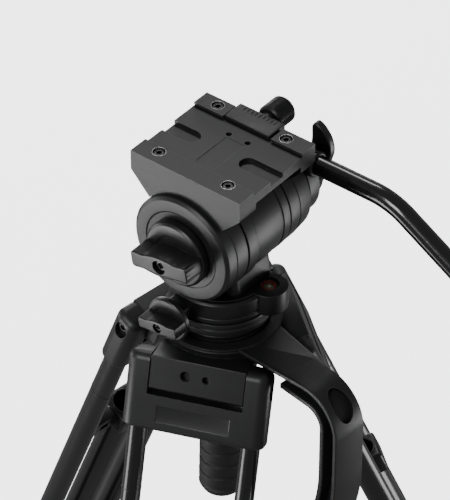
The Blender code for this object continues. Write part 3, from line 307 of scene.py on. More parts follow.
def clear_fluid():
    """Pale green fluid under the level's window."""
    made = Finish("vial_fluid", Coat_Weight=1.0, Coat_Roughness=0.02, IOR=1.45)
    away = made.node('ShaderNodeVectorMath', {'operation': 'LENGTH'},
                     {0: made.node('ShaderNodeVectorMath', {'operation': 'SUBTRACT'},
                                   {0: made.place, 1: (BOSS_X, BOSS_Y, RIM_HEIGHT + DISC_TOP)})}, 'Value')
    made.feed('Base Color', made.mix((away / VIAL_R).clipped() ** 2.0, (0.10, 0.11, 0.07),
                                     (0.05, 0.06, 0.03)))
    made.feed('Roughness', 0.06 + made.noise(0.004) * 0.08)
    return made.material


# The pale second colour of each casting and moulded finish is worn edges and painted edge highlight together.
CASTING = casting("powder_coat", (0.0135, 0.0138, 0.0145), (0.13, 0.13, 0.135), 0.42, 0.00055)
DARK = casting("powder_coat_dark", (0.007, 0.007, 0.0075), (0.08, 0.08, 0.083), 0.38, 0.00050)
TUBE = glossy("anodised_tube", (0.004, 0.004, 0.0045), 0.30, 0.0, 0.15, (0.03, 0.03, 0.032))
GLOSS = glossy("gloss_enamel", (0.005, 0.005, 0.0055), 0.20, 0.05, 0.3, (0.04, 0.04, 0.042))
PLASTIC = moulded("satin_nylon", (0.010, 0.010, 0.0105), (0.08, 0.08, 0.082), 0.36, 0.0005, 0.00006)
RUBBER = moulded("matt_rubber", (0.010, 0.010, 0.010), (0.05, 0.05, 0.05), 0.62, 0.0007, 0.00010)
# Near-black plug finish: painted shade standing in for the deep oval hole in the carry handle.
PAINTED_SHADE_PLUG = moulded("painted_shade_plug", (0.0025, 0.0025, 0.0025), (0.004, 0.004, 0.004), 0.80, 0.0006, 0.00003)
SCREWS = bare_metal("black_oxide", (0.030, 0.030, 0.032), (0.060, 0.058, 0.057), 0.30, 0.0006)
STEEL = bare_metal("turned_steel", (0.42, 0.42, 0.43), (0.52, 0.51, 0.50), 0.26, 0.0005)
BRIGHT = bare_metal("bright_ring", (0.36, 0.36, 0.37), (0.46, 0.46, 0.46), 0.22, 0.0004)
RED = moulded("red_ring", (0.10, 0.010, 0.008), (0.18, 0.03, 0.02), 0.38, 0.0006, 0.00003)
MARKS = moulded("pale_marks", (0.24, 0.25, 0.20), (0.30, 0.30, 0.26), 0.55, 0.0006, 0.00003)
VIAL = clear_fluid()

NODE_FINISH = {"casting": CASTING, "tube": TUBE, "gloss_bar": GLOSS, "plastic": PLASTIC, "rubber": RUBBER,
               "screws": SCREWS, "steel": STEEL, "vial": VIAL}

for part in frame["record"]["subparts"]:
    node = frame["nodes"][part["node"]]
    for place in node.material_slots:
        place.material = NODE_FINISH[part["material_slot"]]


# ================================================================ small tools
def temp(data):
    """A working object, in the scene only until mesh_of takes its mesh."""
    made = bpy.data.objects.new("work", data)
    bpy.context.scene.collection.objects.link(made)
    return made


def mesh_of(made):
    """The evaluated mesh of an object, welded, with its modifiers or its curve gone."""
    bpy.context.view_layer.update()
    graph = bpy.context.evaluated_depsgraph_get()
    mesh = bpy.data.meshes.new_from_object(made.evaluated_get(graph))
    mesh.transform(made.matrix_world)
    bpy.data.objects.remove(made, do_unlink=True)
    body = bmesh.new()
    body.from_mesh(mesh)
    bmesh.ops.remove_doubles(body, verts=body.verts, dist=0.000005)
    bmesh.ops.recalc_face_normals(body, faces=body.faces)
    body.to_mesh(mesh)
    body.free()
    return mesh


def softened(points, radius, closed=True, steps=4):
    """An outline whose corners are rounded; a corner may carry its own radius as a third value."""
    made = []
    count = len(points)
    for i, point in enumerate(points):
        here = Vector(point[:2])
        if not closed and i in (0, count - 1):
            made.append((here.x, here.y))
            continue
        before = Vector(points[i - 1][:2]) - here
        after = Vector(points[(i + 1) % count][:2]) - here
        size = point[2] if len(point) > 2 else radius
        size = min(size, before.length * 0.45, after.length * 0.45)
        turn = before.angle(after) if before.length and after.length else pi
        if size < 1e-6 or turn > radians(172):
            made.append((here.x, here.y))
            continue
        start, end = here + before.normalized() * size, here + after.normalized() * size
        for k in range(steps + 1):
            t = k / steps
            spot = start * (1 - t) ** 2 + here * 2 * t * (1 - t) + end * t ** 2
            made.append((spot.x, spot.y))
    return made


def turned(profile, sides=ROUND, closed=False, along_x=False, corner=0.0005):
    """Turns a profile of (radius, height) about Z, or about X with height along X."""
    mesh = bpy.data.meshes.new("profile")
    points = [(radius, 0.0, height) for radius, height in softened(profile, corner, closed)]
    edges = [(i, i + 1) for i in range(len(points) - 1)]
    if closed:
        edges.append((len(points) - 1, 0))
    mesh.from_pydata(points, edges, [])
    made = temp(mesh)
    screw = made.modifiers.new("turn", 'SCREW')
    screw.steps = sides
    screw.render_steps = sides
    screw.use_merge_vertices = True
    screw.merge_threshold = 0.00001
    done = mesh_of(made)
    if along_x:
        done.transform(Matrix.Rotation(pi / 2, 4, 'Y'))
    return done


def ring(inner, outer, low, high, sides=FINE, along_x=False, corner=0.0003):
    return turned([(outer, high), (outer, low), (inner, low), (inner, high)], sides, True, along_x, corner)


def block(low, high, bevel=0.0, segments=3):
    """A box between two corners, its edges rounded when a bevel is given."""
    body = bmesh.new()
    bmesh.ops.create_cube(body, size=1.0)
    bmesh.ops.scale(body, vec=Vector(high) - Vector(low), verts=body.verts)
    bmesh.ops.translate(body, vec=(Vector(high) + Vector(low)) / 2, verts=body.verts)
    if bevel > 0.0:
        bmesh.ops.bevel(body, geom=body.edges[:], offset=bevel, offset_type='OFFSET', segments=segments,
                        profile=0.5, affect='EDGES', clamp_overlap=True)
    mesh = bpy.data.meshes.new("block")
    body.to_mesh(mesh)
    body.free()
    return mesh


def rod(start, end, radius, sides=FINE):
    """A plain round cutter or bar between two points."""
    start, end = Vector(start), Vector(end)
    run = end - start
    body = bmesh.new()
    bmesh.ops.create_cone(body, cap_ends=True, segments=sides, radius1=radius,
                          radius2=radius, depth=run.length)
    turn = Vector((0, 0, 1)).rotation_difference(run).to_matrix().to_4x4()
    body.transform(Matrix.Translation((start + end) / 2) @ turn)
    mesh = bpy.data.meshes.new("rod")
    body.to_mesh(mesh)
    body.free()
    return mesh


def bar_with_ends(start, end, profile, sides=FINE):
    """A turned piece between two points; its profile is (radius, share of the length)."""
    start, end = Vector(start), Vector(end)
    run = end - start
    mesh = turned([(radius, share * run.length) for radius, share in profile], sides)
    turn = Vector((0, 0, 1)).rotation_difference(run).to_matrix().to_4x4()
    mesh.transform(Matrix.Translation(start) @ turn)
    return mesh


def plate(outline, thickness, place=None, holes=(), edge=0.0):
    """A flat outline in XY, thickened to both sides; edge rounds its two rims."""
    curve = bpy.data.curves.new("outline", 'CURVE')
    curve.dimensions = '2D'
    curve.fill_mode = 'BOTH'
    curve.extrude = thickness / 2 - edge
    curve.bevel_depth = edge
    curve.bevel_resolution = 3 if edge > 0.0 else 0
    curve.offset = -edge
    for path in (outline, *holes):
        spline = curve.splines.new('POLY')
        spline.points.add(len(path) - 1)
        for point, (x, y) in zip(spline.points, path):
            point.co = (x, y, 0.0, 1.0)
        spline.use_cyclic_u = True
    mesh = mesh_of(temp(curve))
    if place is not None:
        mesh.transform(place)
    return mesh


def wire(points, radius, resolution=4):
    """A round wire along a line of points, capped at both ends."""
    curve = bpy.data.curves.new("wire", 'CURVE')
    curve.dimensions = '3D'
    curve.bevel_depth = radius
    curve.bevel_resolution = resolution
    curve.use_fill_caps = True
    spline = curve.splines.new('POLY')
    spline.points.add(len(points) - 1)
    for point, spot in zip(spline.points, points):
        point.co = (*spot, 1.0)
    return mesh_of(temp(curve))


def boolean(first, second, operation):
    """UNION, DIFFERENCE or INTERSECT of two meshes."""
    base, tool = temp(first), temp(second)
    change = base.modifiers.new("change", 'BOOLEAN')
    change.operation = operation
    change.solver = 'EXACT'
    change.object = tool
    mesh = mesh_of(base)
    bpy.data.objects.remove(tool, do_unlink=True)
    return mesh


def cut(base, *tools):
    for tool in tools:
        base = boolean(base, tool, 'DIFFERENCE')
    return base


def join(base, *others):
    for other in others:
        base = boolean(base, other, 'UNION')
    return base


def together(*meshes):
    """Several meshes as one, without joining their surfaces."""
    body = bmesh.new()
    for mesh in meshes:
        body.from_mesh(mesh)
    made = bpy.data.meshes.new("together")
    body.to_mesh(made)
    body.free()
    return made


def moved(mesh, *places):
    """The mesh after each matrix in turn, or after one (x, y, z) offset."""
    for place in places:
        mesh.transform(place if isinstance(place, Matrix) else Matrix.Translation(place))
    return mesh


def arc(centre, radius, start, end, steps):
    """Points of an arc, with its angles in degrees."""
    angles = [radians(start + (end - start) * i / steps) for i in range(steps + 1)]
    return [(centre[0] + radius * cos(a), centre[1] + radius * sin(a)) for a in angles]


def oval(centre, half_x, half_y, sides=FINE):
    turns = [2 * pi * i / sides for i in range(sides)]
    return [(centre[0] + half_x * cos(a), centre[1] + half_y * sin(a)) for a in turns]


def stands_on_x(offset=0.0):
    """Puts an XY outline into the YZ plane at a given X."""
    return Matrix(((0, 0, 1, offset), (1, 0, 0, 0), (0, 1, 0, 0), (0, 0, 0, 1)))


def upright(offset=0.0):
    """Puts an XY outline into the XZ plane at a given Y."""
    return Matrix(((1, 0, 0, 0), (0, 0, -1, offset), (0, 1, 0, 0), (0, 0, 0, 1)))


def piece(name, mesh, finish, body, *nodes, at=HEAD, bevel=0.0004, steps=2):
    """A finished piece that rides on a body and stands for the given CAD nodes."""
    mesh.transform(at)
    mesh.materials.clear()
    mesh.materials.append(finish)
    mesh.shade_smooth()
    made = bpy.data.objects.new(name, mesh)
    bpy.context.scene.collection.objects.link(made)
    if bevel > 0.0:
        edge = made.modifiers.new("edges", 'BEVEL')
        edge.width = bevel
        edge.segments = steps
        edge.limit_method = 'ANGLE'
        edge.angle_limit = radians(34)
        edge.harden_normals = True
        edge.miter_outer = 'MITER_ARC'
    else:
        mesh.set_sharp_from_angle(angle=radians(34))
    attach(made, body)
    if nodes:
        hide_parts(*nodes)
    return made


def cap_screw(top, direction, head_r, head_h, shank_r, shank_l):
    """A knurled cap screw with a hexagon socket; top is the middle of the head's face."""
    top, direction = Vector(top), Vector(direction).normalized()
    flutes = 44
    outline = []
    for i in range(flutes * 2):
        radius = head_r if i % 2 == 0 else head_r * 0.975
        outline.append((radius * cos(pi * i / flutes), radius * sin(pi * i / flutes)))
    knurl = plate(outline, head_h * 0.7, Matrix.Translation((0, 0, -head_h * 0.62)))
    crown_top = turned([(0, 0), (head_r * 0.86, 0), (head_r * 0.965, -head_h * 0.10),
                        (head_r * 0.965, -head_h), (0, -head_h)], SMALL, False, False, head_h * 0.08)
    shank = rod((0, 0, -head_h + 0.0004), (0, 0, -head_h - shank_l), shank_r, SMALL)
    body = cut(join(crown_top, knurl, shank), rod((0, 0, 0.001), (0, 0, -head_h * 0.62), head_r * 0.56, 6))
    turn = Vector((0, 0, 1)).rotation_difference(direction).to_matrix().to_4x4()
    return moved(body, turn, Matrix.Translation(top))


# ================================================================ pan unit
def pan_base():
    """Levelling collar below the pan disc: a wide ring on a darker neck."""
    collar = turned([(BASE_R, BASE_TOP), (BASE_R, 0.0140), (BASE_R - 0.0007, 0.0137),
                     (BASE_R - 0.0007, 0.0128),
                     (BASE_R, 0.0125), (BASE_R, BASE_LOW), (NECK_R - 0.002, BASE_LOW),
                     (SPINDLE_R + FIT, BASE_LOW), (SPINDLE_R + FIT, BASE_TOP)], ROUND, True, False, 0.0007)
    neck = turned([(NECK_R, BASE_LOW + 0.0004), (NECK_R, 0.0040), (NECK_R + 0.0006, 0.0034),
                   (NECK_R + 0.0006, 0.0009),
                   (SPINDLE_R + 0.001, 0.0009), (SPINDLE_R + 0.001, BASE_LOW + 0.0004)], ROUND, True)
    piece("pan_collar", collar, CASTING, "ball", "pan_base", bevel=0.0)
    piece("pan_neck", neck, DARK, "ball", bevel=0.0)


def pan_disc():
    """Pan disc with its bubble boss and the flat cut beside it."""
    disc = turned([(0, DISC_TOP), (BASE_R - 0.0046, DISC_TOP), (BASE_R - 0.0040, DISC_TOP - 0.0007),
                   (BASE_R - 0.0022, DISC_TOP - 0.0007), (BASE_R, DISC_TOP - 0.0026), (BASE_R, 0.0252),
                   (BASE_R - 0.0006, 0.0248), (BASE_R - 0.0006, 0.0240), (BASE_R, 0.0236),
                   (BASE_R, DISC_LOW), (0, DISC_LOW)], ROUND, False, False, 0.0006)
    boss = turned([(0, DISC_TOP), (BOSS_R, DISC_TOP), (BOSS_R, 0.0205), (0, 0.0205)], FINE, False, False,
                  0.0010)
    body = join(disc, moved(boss, (BOSS_X, BOSS_Y, 0.0)))
    web = block((BOSS_X - BOSS_R, BOSS_Y + 0.002, 0.0215),
                (BOSS_X + BOSS_R, BOSS_Y + 0.018, DISC_TOP - 0.0012), 0.0008)
    step = block((BOSS_X + BOSS_R - 0.0020, -0.060, DISC_TOP - 0.0050), (0.060, -0.0260, DISC_TOP + 0.010))
    body = cut(join(body, web), step,
               rod((BOSS_X, BOSS_Y, DISC_TOP - 0.0075), (BOSS_X, BOSS_Y, DISC_TOP + 0.002), VIAL_R + FIT),
               rod((0, 0, DISC_LOW - 0.005), (0, 0, 0.0253), 0.0254, FINE),
               rod((0, 0, 0), (0, 0, 0.0500), SPINDLE_R + RUN))
    return body


def pan_stub():
    """Square-shouldered boss that carries the pan drag knob's screw."""
    stub = block((PAN_KNOB_FACE + 0.0006, PAN_KNOB_Y - 0.0095, DISC_LOW + 0.0004),
                 (-0.0340, PAN_KNOB_Y + 0.0095, PAN_KNOB_Z + 0.0085), 0.0020, 4)
    return cut(stub, rod((-0.0600, PAN_KNOB_Y, PAN_KNOB_Z), (-0.0420, PAN_KNOB_Y, PAN_KNOB_Z), 0.0030, SMALL))


def pedestal():
    """Foot that rises from the disc and grips the tilt core, waisted between the two."""
    half_y, low, high = 0.0290, DISC_TOP - 0.0070, TILT_Z - 0.0200
    outline = [(-half_y, low), (-half_y, low + 0.0100), (-0.0262, 0.0560), (-0.0290, high),
               (0.0290, high), (0.0262, 0.0560), (half_y, low + 0.0100), (half_y, low)]
    outline = softened(outline, 0.0100, True, 6)
    body = plate(outline, 0.0460, stands_on_x(0.0042), edge=0.0048)
    return cut(body, rod((0, 0, 0), (0, 0, 0.0440 + 0.0012), SPINDLE_R + RUN),
               rod((0, 0, 0.0375), (0, 0, 0.0470), 0.0135))


def tilt_core():
    """Fixed barrel between the drums, a little bulged, with a raised band beside each groove."""
    swell = []
    for i in range(17):
        x = CORE_L + 0.0127 + (0.0205 - CORE_L - 0.0127) * i / 16
        swell.append((CORE_RADIUS - 0.0006 + 0.0006 * sin(pi * i / 16), x))
    profile = [(0, CORE_L), (DRUM_R, CORE_L), (DRUM_R, CORE_L + 0.0110)] + swell + \
              [(CORE_RADIUS - 0.0010, 0.0208), (CORE_RADIUS - 0.0010, 0.0215), (CORE_RADIUS - 0.0002, 0.0218),
               (CORE_RADIUS - 0.0002, CORE_R), (0, CORE_R)]
    core = turned(profile, ROUND, False, True, 0.0005)
    core = cut(core, rod((-0.05, 0, 0), (0.05, 0, 0), SHAFT_R + 0.0068))
    return moved(core, (0, 0, TILT_Z))


def bubble_level():
    """Round level: dark bezel, red ring, fluid with a clear coat for its window, its bubble and a centre
    ring.
    """
    at = HEAD @ Matrix.Translation((BOSS_X, BOSS_Y, 0))
    top = DISC_TOP - 0.0022
    bezel = turned([(VIAL_R, DISC_TOP - 0.0010), (VIAL_R, DISC_TOP - 0.0072),
                    (VIAL_R - 0.0022, DISC_TOP - 0.0072),
                    (VIAL_R - 0.0022, DISC_TOP - 0.0010)], FINE, True, False, 0.0003)
    red = turned([(VIAL_R - 0.0023, DISC_TOP - 0.0012), (VIAL_R - 0.0023, DISC_TOP - 0.0060),
                  (VIAL_R - 0.0039, DISC_TOP - 0.0060), (VIAL_R - 0.0039, DISC_TOP - 0.0012)], FINE, True,
                  False, 0.0003)
    dome = [(r, top - 0.9 * r * r / 0.05) for r in (0.0010, 0.0020, 0.0030, VIAL_R - 0.0040)]
    fluid = turned([(0, top)] + dome + [(VIAL_R - 0.0040, DISC_TOP - 0.0070), (0, DISC_TOP - 0.0070)], FINE)
    mark = turned([(0.0021, top + 0.0001), (0.0021, top - 0.0003), (0.0018, top - 0.0003),
                   (0.0018, top + 0.0001)],
                  FINE, True, False, 0.00005)
    bubble = turned([(0, top + 0.00025), (0.0008, top + 0.0002), (0.0014, top), (0.0014, top - 0.0005),
                     (0, top - 0.0005)],
                    SMALL)
    piece("level_bezel", bezel, DARK, "pan", at=at, bevel=0.0)
    piece("level_ring", red, RED, "pan", at=at, bevel=0.0)
    piece("level_fluid", fluid, VIAL, "pan", "bubble_vial", at=at, bevel=0.0)
    piece("level_mark", mark, DARK, "pan", at=at, bevel=0.0)
    piece("level_bubble", moved(bubble, (0.0006, -0.0004, 0)), MARKS, "pan", at=at, bevel=0.0)


pan_base()
piece("pan_disc", pan_disc(), DARK, "pan", "pan_housing", bevel=0.0005)
piece("pan_stub", pan_stub(), CASTING, "pan", bevel=0.0003)
piece("pedestal", pedestal(), CASTING, "pan", bevel=0.0)
piece("tilt_core", tilt_core(), CASTING, "pan", bevel=0.0)
bubble_level()


# ================================================================ drag knobs
def wing_knob(face_x, radius):
    """Round knob with a thick bar across it, its grip flanks hollowed; it grows to -X."""
    k = radius / TILT_KNOB_R
    disc = turned([(0, 0.0), (radius - 0.0006, 0.0), (radius, 0.0006), (radius, 0.0060 * k),
                   (radius - 0.0018 * k, 0.0077 * k), (radius * 0.62, 0.0077 * k),
                   (radius * 0.60, 0.0071 * k),
                   (0, 0.0071 * k)], ROUND, False, True, 0.0006 * k)
    disc.transform(Matrix.Scale(-1, 4, (1, 0, 0)))
    disc.flip_normals()
    half = radius * 0.985
    flank = [(-half, -0.0074 * k), (-half * 0.55, -0.0066 * k), (-0.0110 * k, -0.0078 * k),
             (0.0, -0.0092 * k),
             (0.0110 * k, -0.0078 * k), (half * 0.55, -0.0066 * k), (half, -0.0074 * k)]
    outline = flank + [(y, -z) for y, z in reversed(flank)]
    outline = softened(outline, 0.0040 * k, True, 5)
    low, high = -0.0257 * k, -0.0045 * k
    bar = plate(outline, high - low, stands_on_x((low + high) / 2), edge=0.0013 * k)
    bar = boolean(bar, rod((-0.05, 0, 0), (0.01, 0, 0), radius - 0.0005, ROUND), 'INTERSECT')
    body = join(disc, bar)
    body = cut(body, rod((-0.0270 * k, 0, 0), (-0.0190 * k, 0, 0), 0.0060 * k, FINE),
               rod((-0.03 * k, 0, 0), (0.01, 0, 0), 0.0034 * k, SMALL))
    return moved(body, Matrix.Rotation(KNOB_LEAN, 4, 'X'), (face_x, 0, 0))


def knob_screw(face_x, radius, reach):
    k = radius / TILT_KNOB_R
    return cap_screw((face_x - 0.0224 * k - FIT, 0, 0), (-1, 0, 0), 0.0056 * k, 0.0034 * k, 0.0030 * k, reach)


def washer(face_x, radius):
    """Bright seat of the knob's screw at the bottom of its counterbore."""
    k = radius / TILT_KNOB_R
    return ring(0.0042 * k, 0.0059 * k, face_x - 0.0198 * k, face_x - 0.0190 * k, FINE, True, 0.0001)


pan_knob_at = HEAD @ Matrix.Translation((0.0, PAN_KNOB_Y, PAN_KNOB_Z))
for name, body, face, radius, reach, at in (
        ("tilt", "tilt_knob", TILT_KNOB_FACE, TILT_KNOB_R, 0.0290, TILT),
        ("pan", "pan_knob", PAN_KNOB_FACE, PAN_KNOB_R, 0.0180, pan_knob_at)):
    piece(name + "_knob", wing_knob(face, radius), PLASTIC, body, name + "_drag_knob", at=at, bevel=0.0005)
    piece(name + "_knob_cap_screw", knob_screw(face, radius, reach), SCREWS, body, name + "_knob_screw",
          at=at,
          bevel=0.0)
    piece(name + "_knob_washer", washer(face, radius), STEEL, body, at=at, bevel=0.0)


# ================================================================ tilting drums
def drum_left():
    """Cover of the fluid cartridge, its outer face dished round the drag knob."""
    shell = turned([(SHAFT_R + FIT, DRUM_L_END), (DRUM_R - 0.0006, DRUM_L_END), (DRUM_R, DRUM_L_END - 0.0007),
                    (DRUM_R, -0.0372), (DRUM_R - 0.0005, -0.0375), (DRUM_R - 0.0005, -0.0381),
                    (DRUM_R, -0.0384),
                    (DRUM_R, DRUM_L_FACE + 0.0024), (DRUM_R - 0.0024, DRUM_L_FACE), (0.0335, DRUM_L_FACE),
                    (0.0328, DRUM_L_FACE + 0.0007), (SHAFT_R + FIT, DRUM_L_FACE + 0.0007)], ROUND, True,
                    True, 0.0006)
    return cut(shell, ring(SHAFT_R + 0.0060, 0.0340, DRUM_L_FACE + 0.0070, DRUM_L_END + 0.01, FINE, True))


def drum_right():
    """Cover of the counterbalance, with a bead beside the core and a taper to the handle's rosette."""
    shell = turned([(SHAFT_R + FIT, DRUM_R_FACE), (0.0374, DRUM_R_FACE), (0.0380, DRUM_R_FACE - 0.0006),
                    (DRUM_R_TIP - 0.0012, DRUM_R_FACE - 0.0010), (DRUM_R_TIP, DRUM_R_FACE - 0.0022),
                    (DRUM_R_R, DRUM_R_START + 0.0120), (DRUM_R_R - 0.0005, DRUM_R_START + 0.0116),
                    (DRUM_R_R - 0.0005, DRUM_R_START + 0.0108), (DRUM_R_R, DRUM_R_START + 0.0104),
                    (DRUM_R_R, DRUM_R_START), (SHAFT_R + FIT, DRUM_R_START)], ROUND, True, True, 0.0006)
    return cut(shell, ring(SHAFT_R + 0.0060, 0.0340, DRUM_R_START - 0.01, DRUM_R_FACE - 0.0070, FINE, True))


piece("left_drum", drum_left(), CASTING, "tilt", "drum_left", at=TILT, bevel=0.0)
piece("right_drum", drum_right(), CASTING, "tilt", "drum_right", at=TILT, bevel=0.0)


# ================================================================ platform
def platform():
    """Deck, fixed rail, two far blocks and the skirts that hug the drums, with every slot and hole."""
    deck = block((DECK_X0, DECK_Y0, DECK_UNDER), (DECK_X1, DECK_Y1, DECK_FLOOR))
    rail = block((DECK_X0, DECK_Y0, DECK_UNDER + 0.001), (RAIL_IN, DECK_Y1, DECK_TOP))
    far_a = block((FAR_RAIL_IN, JAW_Y1 + 0.0008, DECK_UNDER + 0.001), (DECK_X1, DECK_Y1, DECK_TOP))
    far_b = block((FAR_RAIL_IN, DECK_Y0, DECK_UNDER + 0.001), (DECK_X1, JAW_Y0 - 0.0022, DECK_TOP))
    skirt = [(DECK_Y0, DECK_UNDER + 0.001, 0), (DECK_Y0, DECK_UNDER - 0.0060, 0.0012), (-0.0320, 0.1220),
             (0.0340, 0.1220), (DECK_Y1, DECK_UNDER - 0.0060, 0.0012), (DECK_Y1, DECK_UNDER + 0.001, 0)]
    skirt = softened(skirt, 0.0030)
    left = plate(skirt, RAIL_IN + 0.002 - DECK_X0, stands_on_x((DECK_X0 + RAIL_IN + 0.002) / 2))
    right = plate(skirt, DECK_X1 - DRUM_R_START, stands_on_x((DECK_X1 + DRUM_R_START) / 2))
    body = join(deck, rail, far_a, far_b, left, right)
    tools = [rod((DECK_X0 - 0.01, 0, TILT_Z), (DRUM_L_END + 0.0004, 0, TILT_Z), DRUM_R + FIT, ROUND),
             rod((DRUM_R_START - 0.0004, 0, TILT_Z), (DECK_X1 + 0.01, 0, TILT_Z), DRUM_R_R + FIT, ROUND)]
    for y_end, sign, reach in ((DECK_Y1, -1, 0.0300), (DECK_Y0, 1, 0.0340)):
        inner = y_end + sign * (reach - SLOT_W / 2)
        outer = y_end - sign * 0.01
        slot = block((SLOT_X - SLOT_W / 2, min(inner, outer), SLOT_FLOOR),
                     (SLOT_X + SLOT_W / 2, max(inner, outer), DECK_TOP))
        tools.append(join(slot, rod((SLOT_X, inner, SLOT_FLOOR), (SLOT_X, inner, DECK_TOP), SLOT_W / 2)))
    for x, y in ((0.0205, 0.0093), (0.0205, -0.0086)):
        tools.append(rod((x, y, DECK_FLOOR - 0.004), (x, y, DECK_TOP), 0.0024, SMALL))
    for x, y in PLATE_SCREWS:
        tools.append(rod((x, y, DECK_TOP - 0.0064), (x, y, DECK_TOP + 0.002), 0.0056))
        tools.append(rod((x, y, DECK_UNDER - 0.002), (x, y, DECK_TOP), 0.0033, SMALL))
    tools.append(rod((FAR_RAIL_IN - 0.002, SCREW_Y, SCREW_Z), (DECK_X1 + 0.01, SCREW_Y, SCREW_Z), 0.0034,
                     SMALL))
    panel = block((-0.0200, -0.0085, DECK_FLOOR - 0.0004), (0.0170, 0.0090, DECK_FLOOR + 0.002))
    tools.append(panel)
    for y in (-0.0290, 0.0330):
        tools.append(block((RAIL_IN - 0.0022, y - 0.0022, DECK_FLOOR - 0.0006),
                           (RAIL_IN + 0.0030, y + 0.0022, 0.165)))
    for y0, y1 in ((JAW_Y1, DECK_Y1 + 0.01), (DECK_Y0 - 0.01, JAW_Y0)):
        tools.append(block((FAR_RAIL_IN - 0.001, y0, DECK_FLOOR), (FAR_RAIL_IN + 0.0013, y1, 0.1573)))
    return cut(body, *tools)


piece("platform_casting", platform(), CASTING, "tilt", "platform", bevel=0.0005, steps=3)
for i, (x, y) in enumerate(PLATE_SCREWS):
    screw = cap_screw((x, y, DECK_TOP - 0.0012), (0, 0, 1), 0.0046, 0.0048, 0.0029, 0.0062)
    number = str(i + 1)
    piece("plate_screw_" + number, screw, SCREWS, "tilt", "platform_screw_" + number, bevel=0.0)
    lip = ring(0.0050, 0.0055, DECK_TOP - 0.0030, DECK_TOP - 0.0002, FINE, False, 0.0001)
    piece("plate_screw_lip_" + number, moved(lip, (x, y, 0)), BRIGHT, "tilt", bevel=0.0)


def clamp_jaw():
    """Sliding jaw, grooved on top, with the lip that its screw passes through."""
    z = DECK_FLOOR + RUN
    top = block((FAR_RAIL_IN + 0.001, JAW_Y0, z), (JAW_LIP, JAW_Y1, DECK_TOP + 0.0006), 0.0007, 3)
    lip = block((DECK_X1 + RUN, JAW_Y0 + 0.0002, SCREW_Z - 0.0055), (JAW_LIP, JAW_Y1 - 0.0002, z + 0.001))
    bore = rod((DECK_X1 - 0.01, SCREW_Y, SCREW_Z), (JAW_LIP + 0.01, SCREW_Y, SCREW_Z), 0.0034, SMALL)
    grooves = [block((JAW_LIP - 0.0060, JAW_Y0 + 0.0050 + 0.0037 * i, DECK_TOP), (JAW_LIP - 0.0020,
               JAW_Y0 + 0.0062 + 0.0037 * i, DECK_TOP + 0.002)) for i in range(9)]
    return cut(join(top, lip), bore, *grooves)


def clamp_knob():
    """Straight-knurled knob with a chamfered rim, a plain neck and its screw."""
    start = JAW_LIP + 0.0006
    teeth, outline = 46, []
    for i in range(teeth):
        for share, radius in ((0.0, 0.0), (0.30, 0.0), (0.55, 0.0007), (0.75, 0.0007)):
            angle = 2 * pi * (i + share) / teeth
            outline.append(((CLAMP_KNOB_R - radius) * cos(angle), (CLAMP_KNOB_R - radius) * sin(angle)))
    head = plate(outline, 0.0200, stands_on_x(start + 0.0150))
    chamfer = turned([(0, start + 0.0049), (CLAMP_KNOB_R - 0.0016, start + 0.0049),
                      (CLAMP_KNOB_R + 0.0004, start + 0.0072),
                      (CLAMP_KNOB_R + 0.0004, start + 0.0228), (CLAMP_KNOB_R - 0.0016, start + 0.0251),
                      (0, start + 0.0251)], FINE, False, True, 0.0002)
    head = boolean(head, chamfer, 'INTERSECT')
    neck = turned([(0, start), (0.0066, start), (0.0072, start + 0.0008), (0.0072, start + 0.0040),
                   (0.0064, start + 0.0052), (0.0064, start + 0.0070), (0, start + 0.0070)], FINE, False,
                   True)
    dish = rod((start + 0.0242, 0, 0), (start + 0.03, 0, 0), 0.0074)
    thread = rod((FAR_RAIL_IN + 0.003, 0, 0), (start + 0.001, 0, 0), 0.0029, SMALL)
    return moved(cut(join(head, neck, thread), dish), (0, SCREW_Y, SCREW_Z))


piece("jaw_casting", clamp_jaw(), CASTING, "jaw", "clamp_jaw", bevel=0.0003)
piece("knurled_knob", clamp_knob(), PLASTIC, "clamp_knob", "clamp_knob", bevel=0.0)


# ================================================================ pan handle
def bar_route():
    """Straight out of the holder, one smooth bend, then straight down and back."""
    bend_r, steps = 0.060, 24
    start = BAR_BEND + 0.0166
    points = [(BAR_X, BAR_START, BAR_Z), (BAR_X, start, BAR_Z)]
    for i in range(1, steps + 1):
        angle = BAR_DROP * i / steps
        points.append((BAR_X, start - bend_r * sin(angle), BAR_Z - bend_r * (1 - cos(angle))))
    x, y, z = points[-1]
    points.append((x, y - BAR_LENGTH * cos(BAR_DROP), z - BAR_LENGTH * sin(BAR_DROP)))
    return [Vector(p) for p in points]


def handle_holder():
    """Round rosette clamp with the split barrel that grips the bar."""
    disc = turned([(SHAFT_R + RUN, HOLDER_X1), (HOLDER_R - 0.0100, HOLDER_X1),
                   (HOLDER_R - 0.0092, HOLDER_X1 - 0.0010),
                   (HOLDER_R - 0.0034, HOLDER_X1 - 0.0010), (HOLDER_R, HOLDER_X1 - 0.0046),
                   (HOLDER_R, HOLDER_X0 + 0.0032), (HOLDER_R - 0.0009, HOLDER_X0 + 0.0028),
                   (HOLDER_R - 0.0009, HOLDER_X0), (SHAFT_R + RUN, HOLDER_X0)], ROUND, True, True, 0.0007)
    barrel = bar_with_ends((BAR_X, -0.0390, BAR_Z), (BAR_X, -0.0040, BAR_Z),
                           [(0, 0), (BARREL_R - 0.0012, 0), (BARREL_R, 0.035), (BARREL_R, 0.965),
                            (BARREL_R - 0.0012, 1), (0, 1)])
    body = join(moved(disc, (0, 0, TILT_Z)), barrel)
    split = block((BAR_X - 0.0006, -0.0400, BAR_Z), (BAR_X + 0.0006, -0.0240, BAR_Z + 0.020))
    return cut(body, rod((BAR_X, -0.06, BAR_Z), (BAR_X, BAR_START + FIT, BAR_Z), BAR_R + FIT),
               rod((0.0300, 0, TILT_Z), (DRUM_R_FACE + RUN, 0, TILT_Z), DRUM_R_R + 0.004), split)


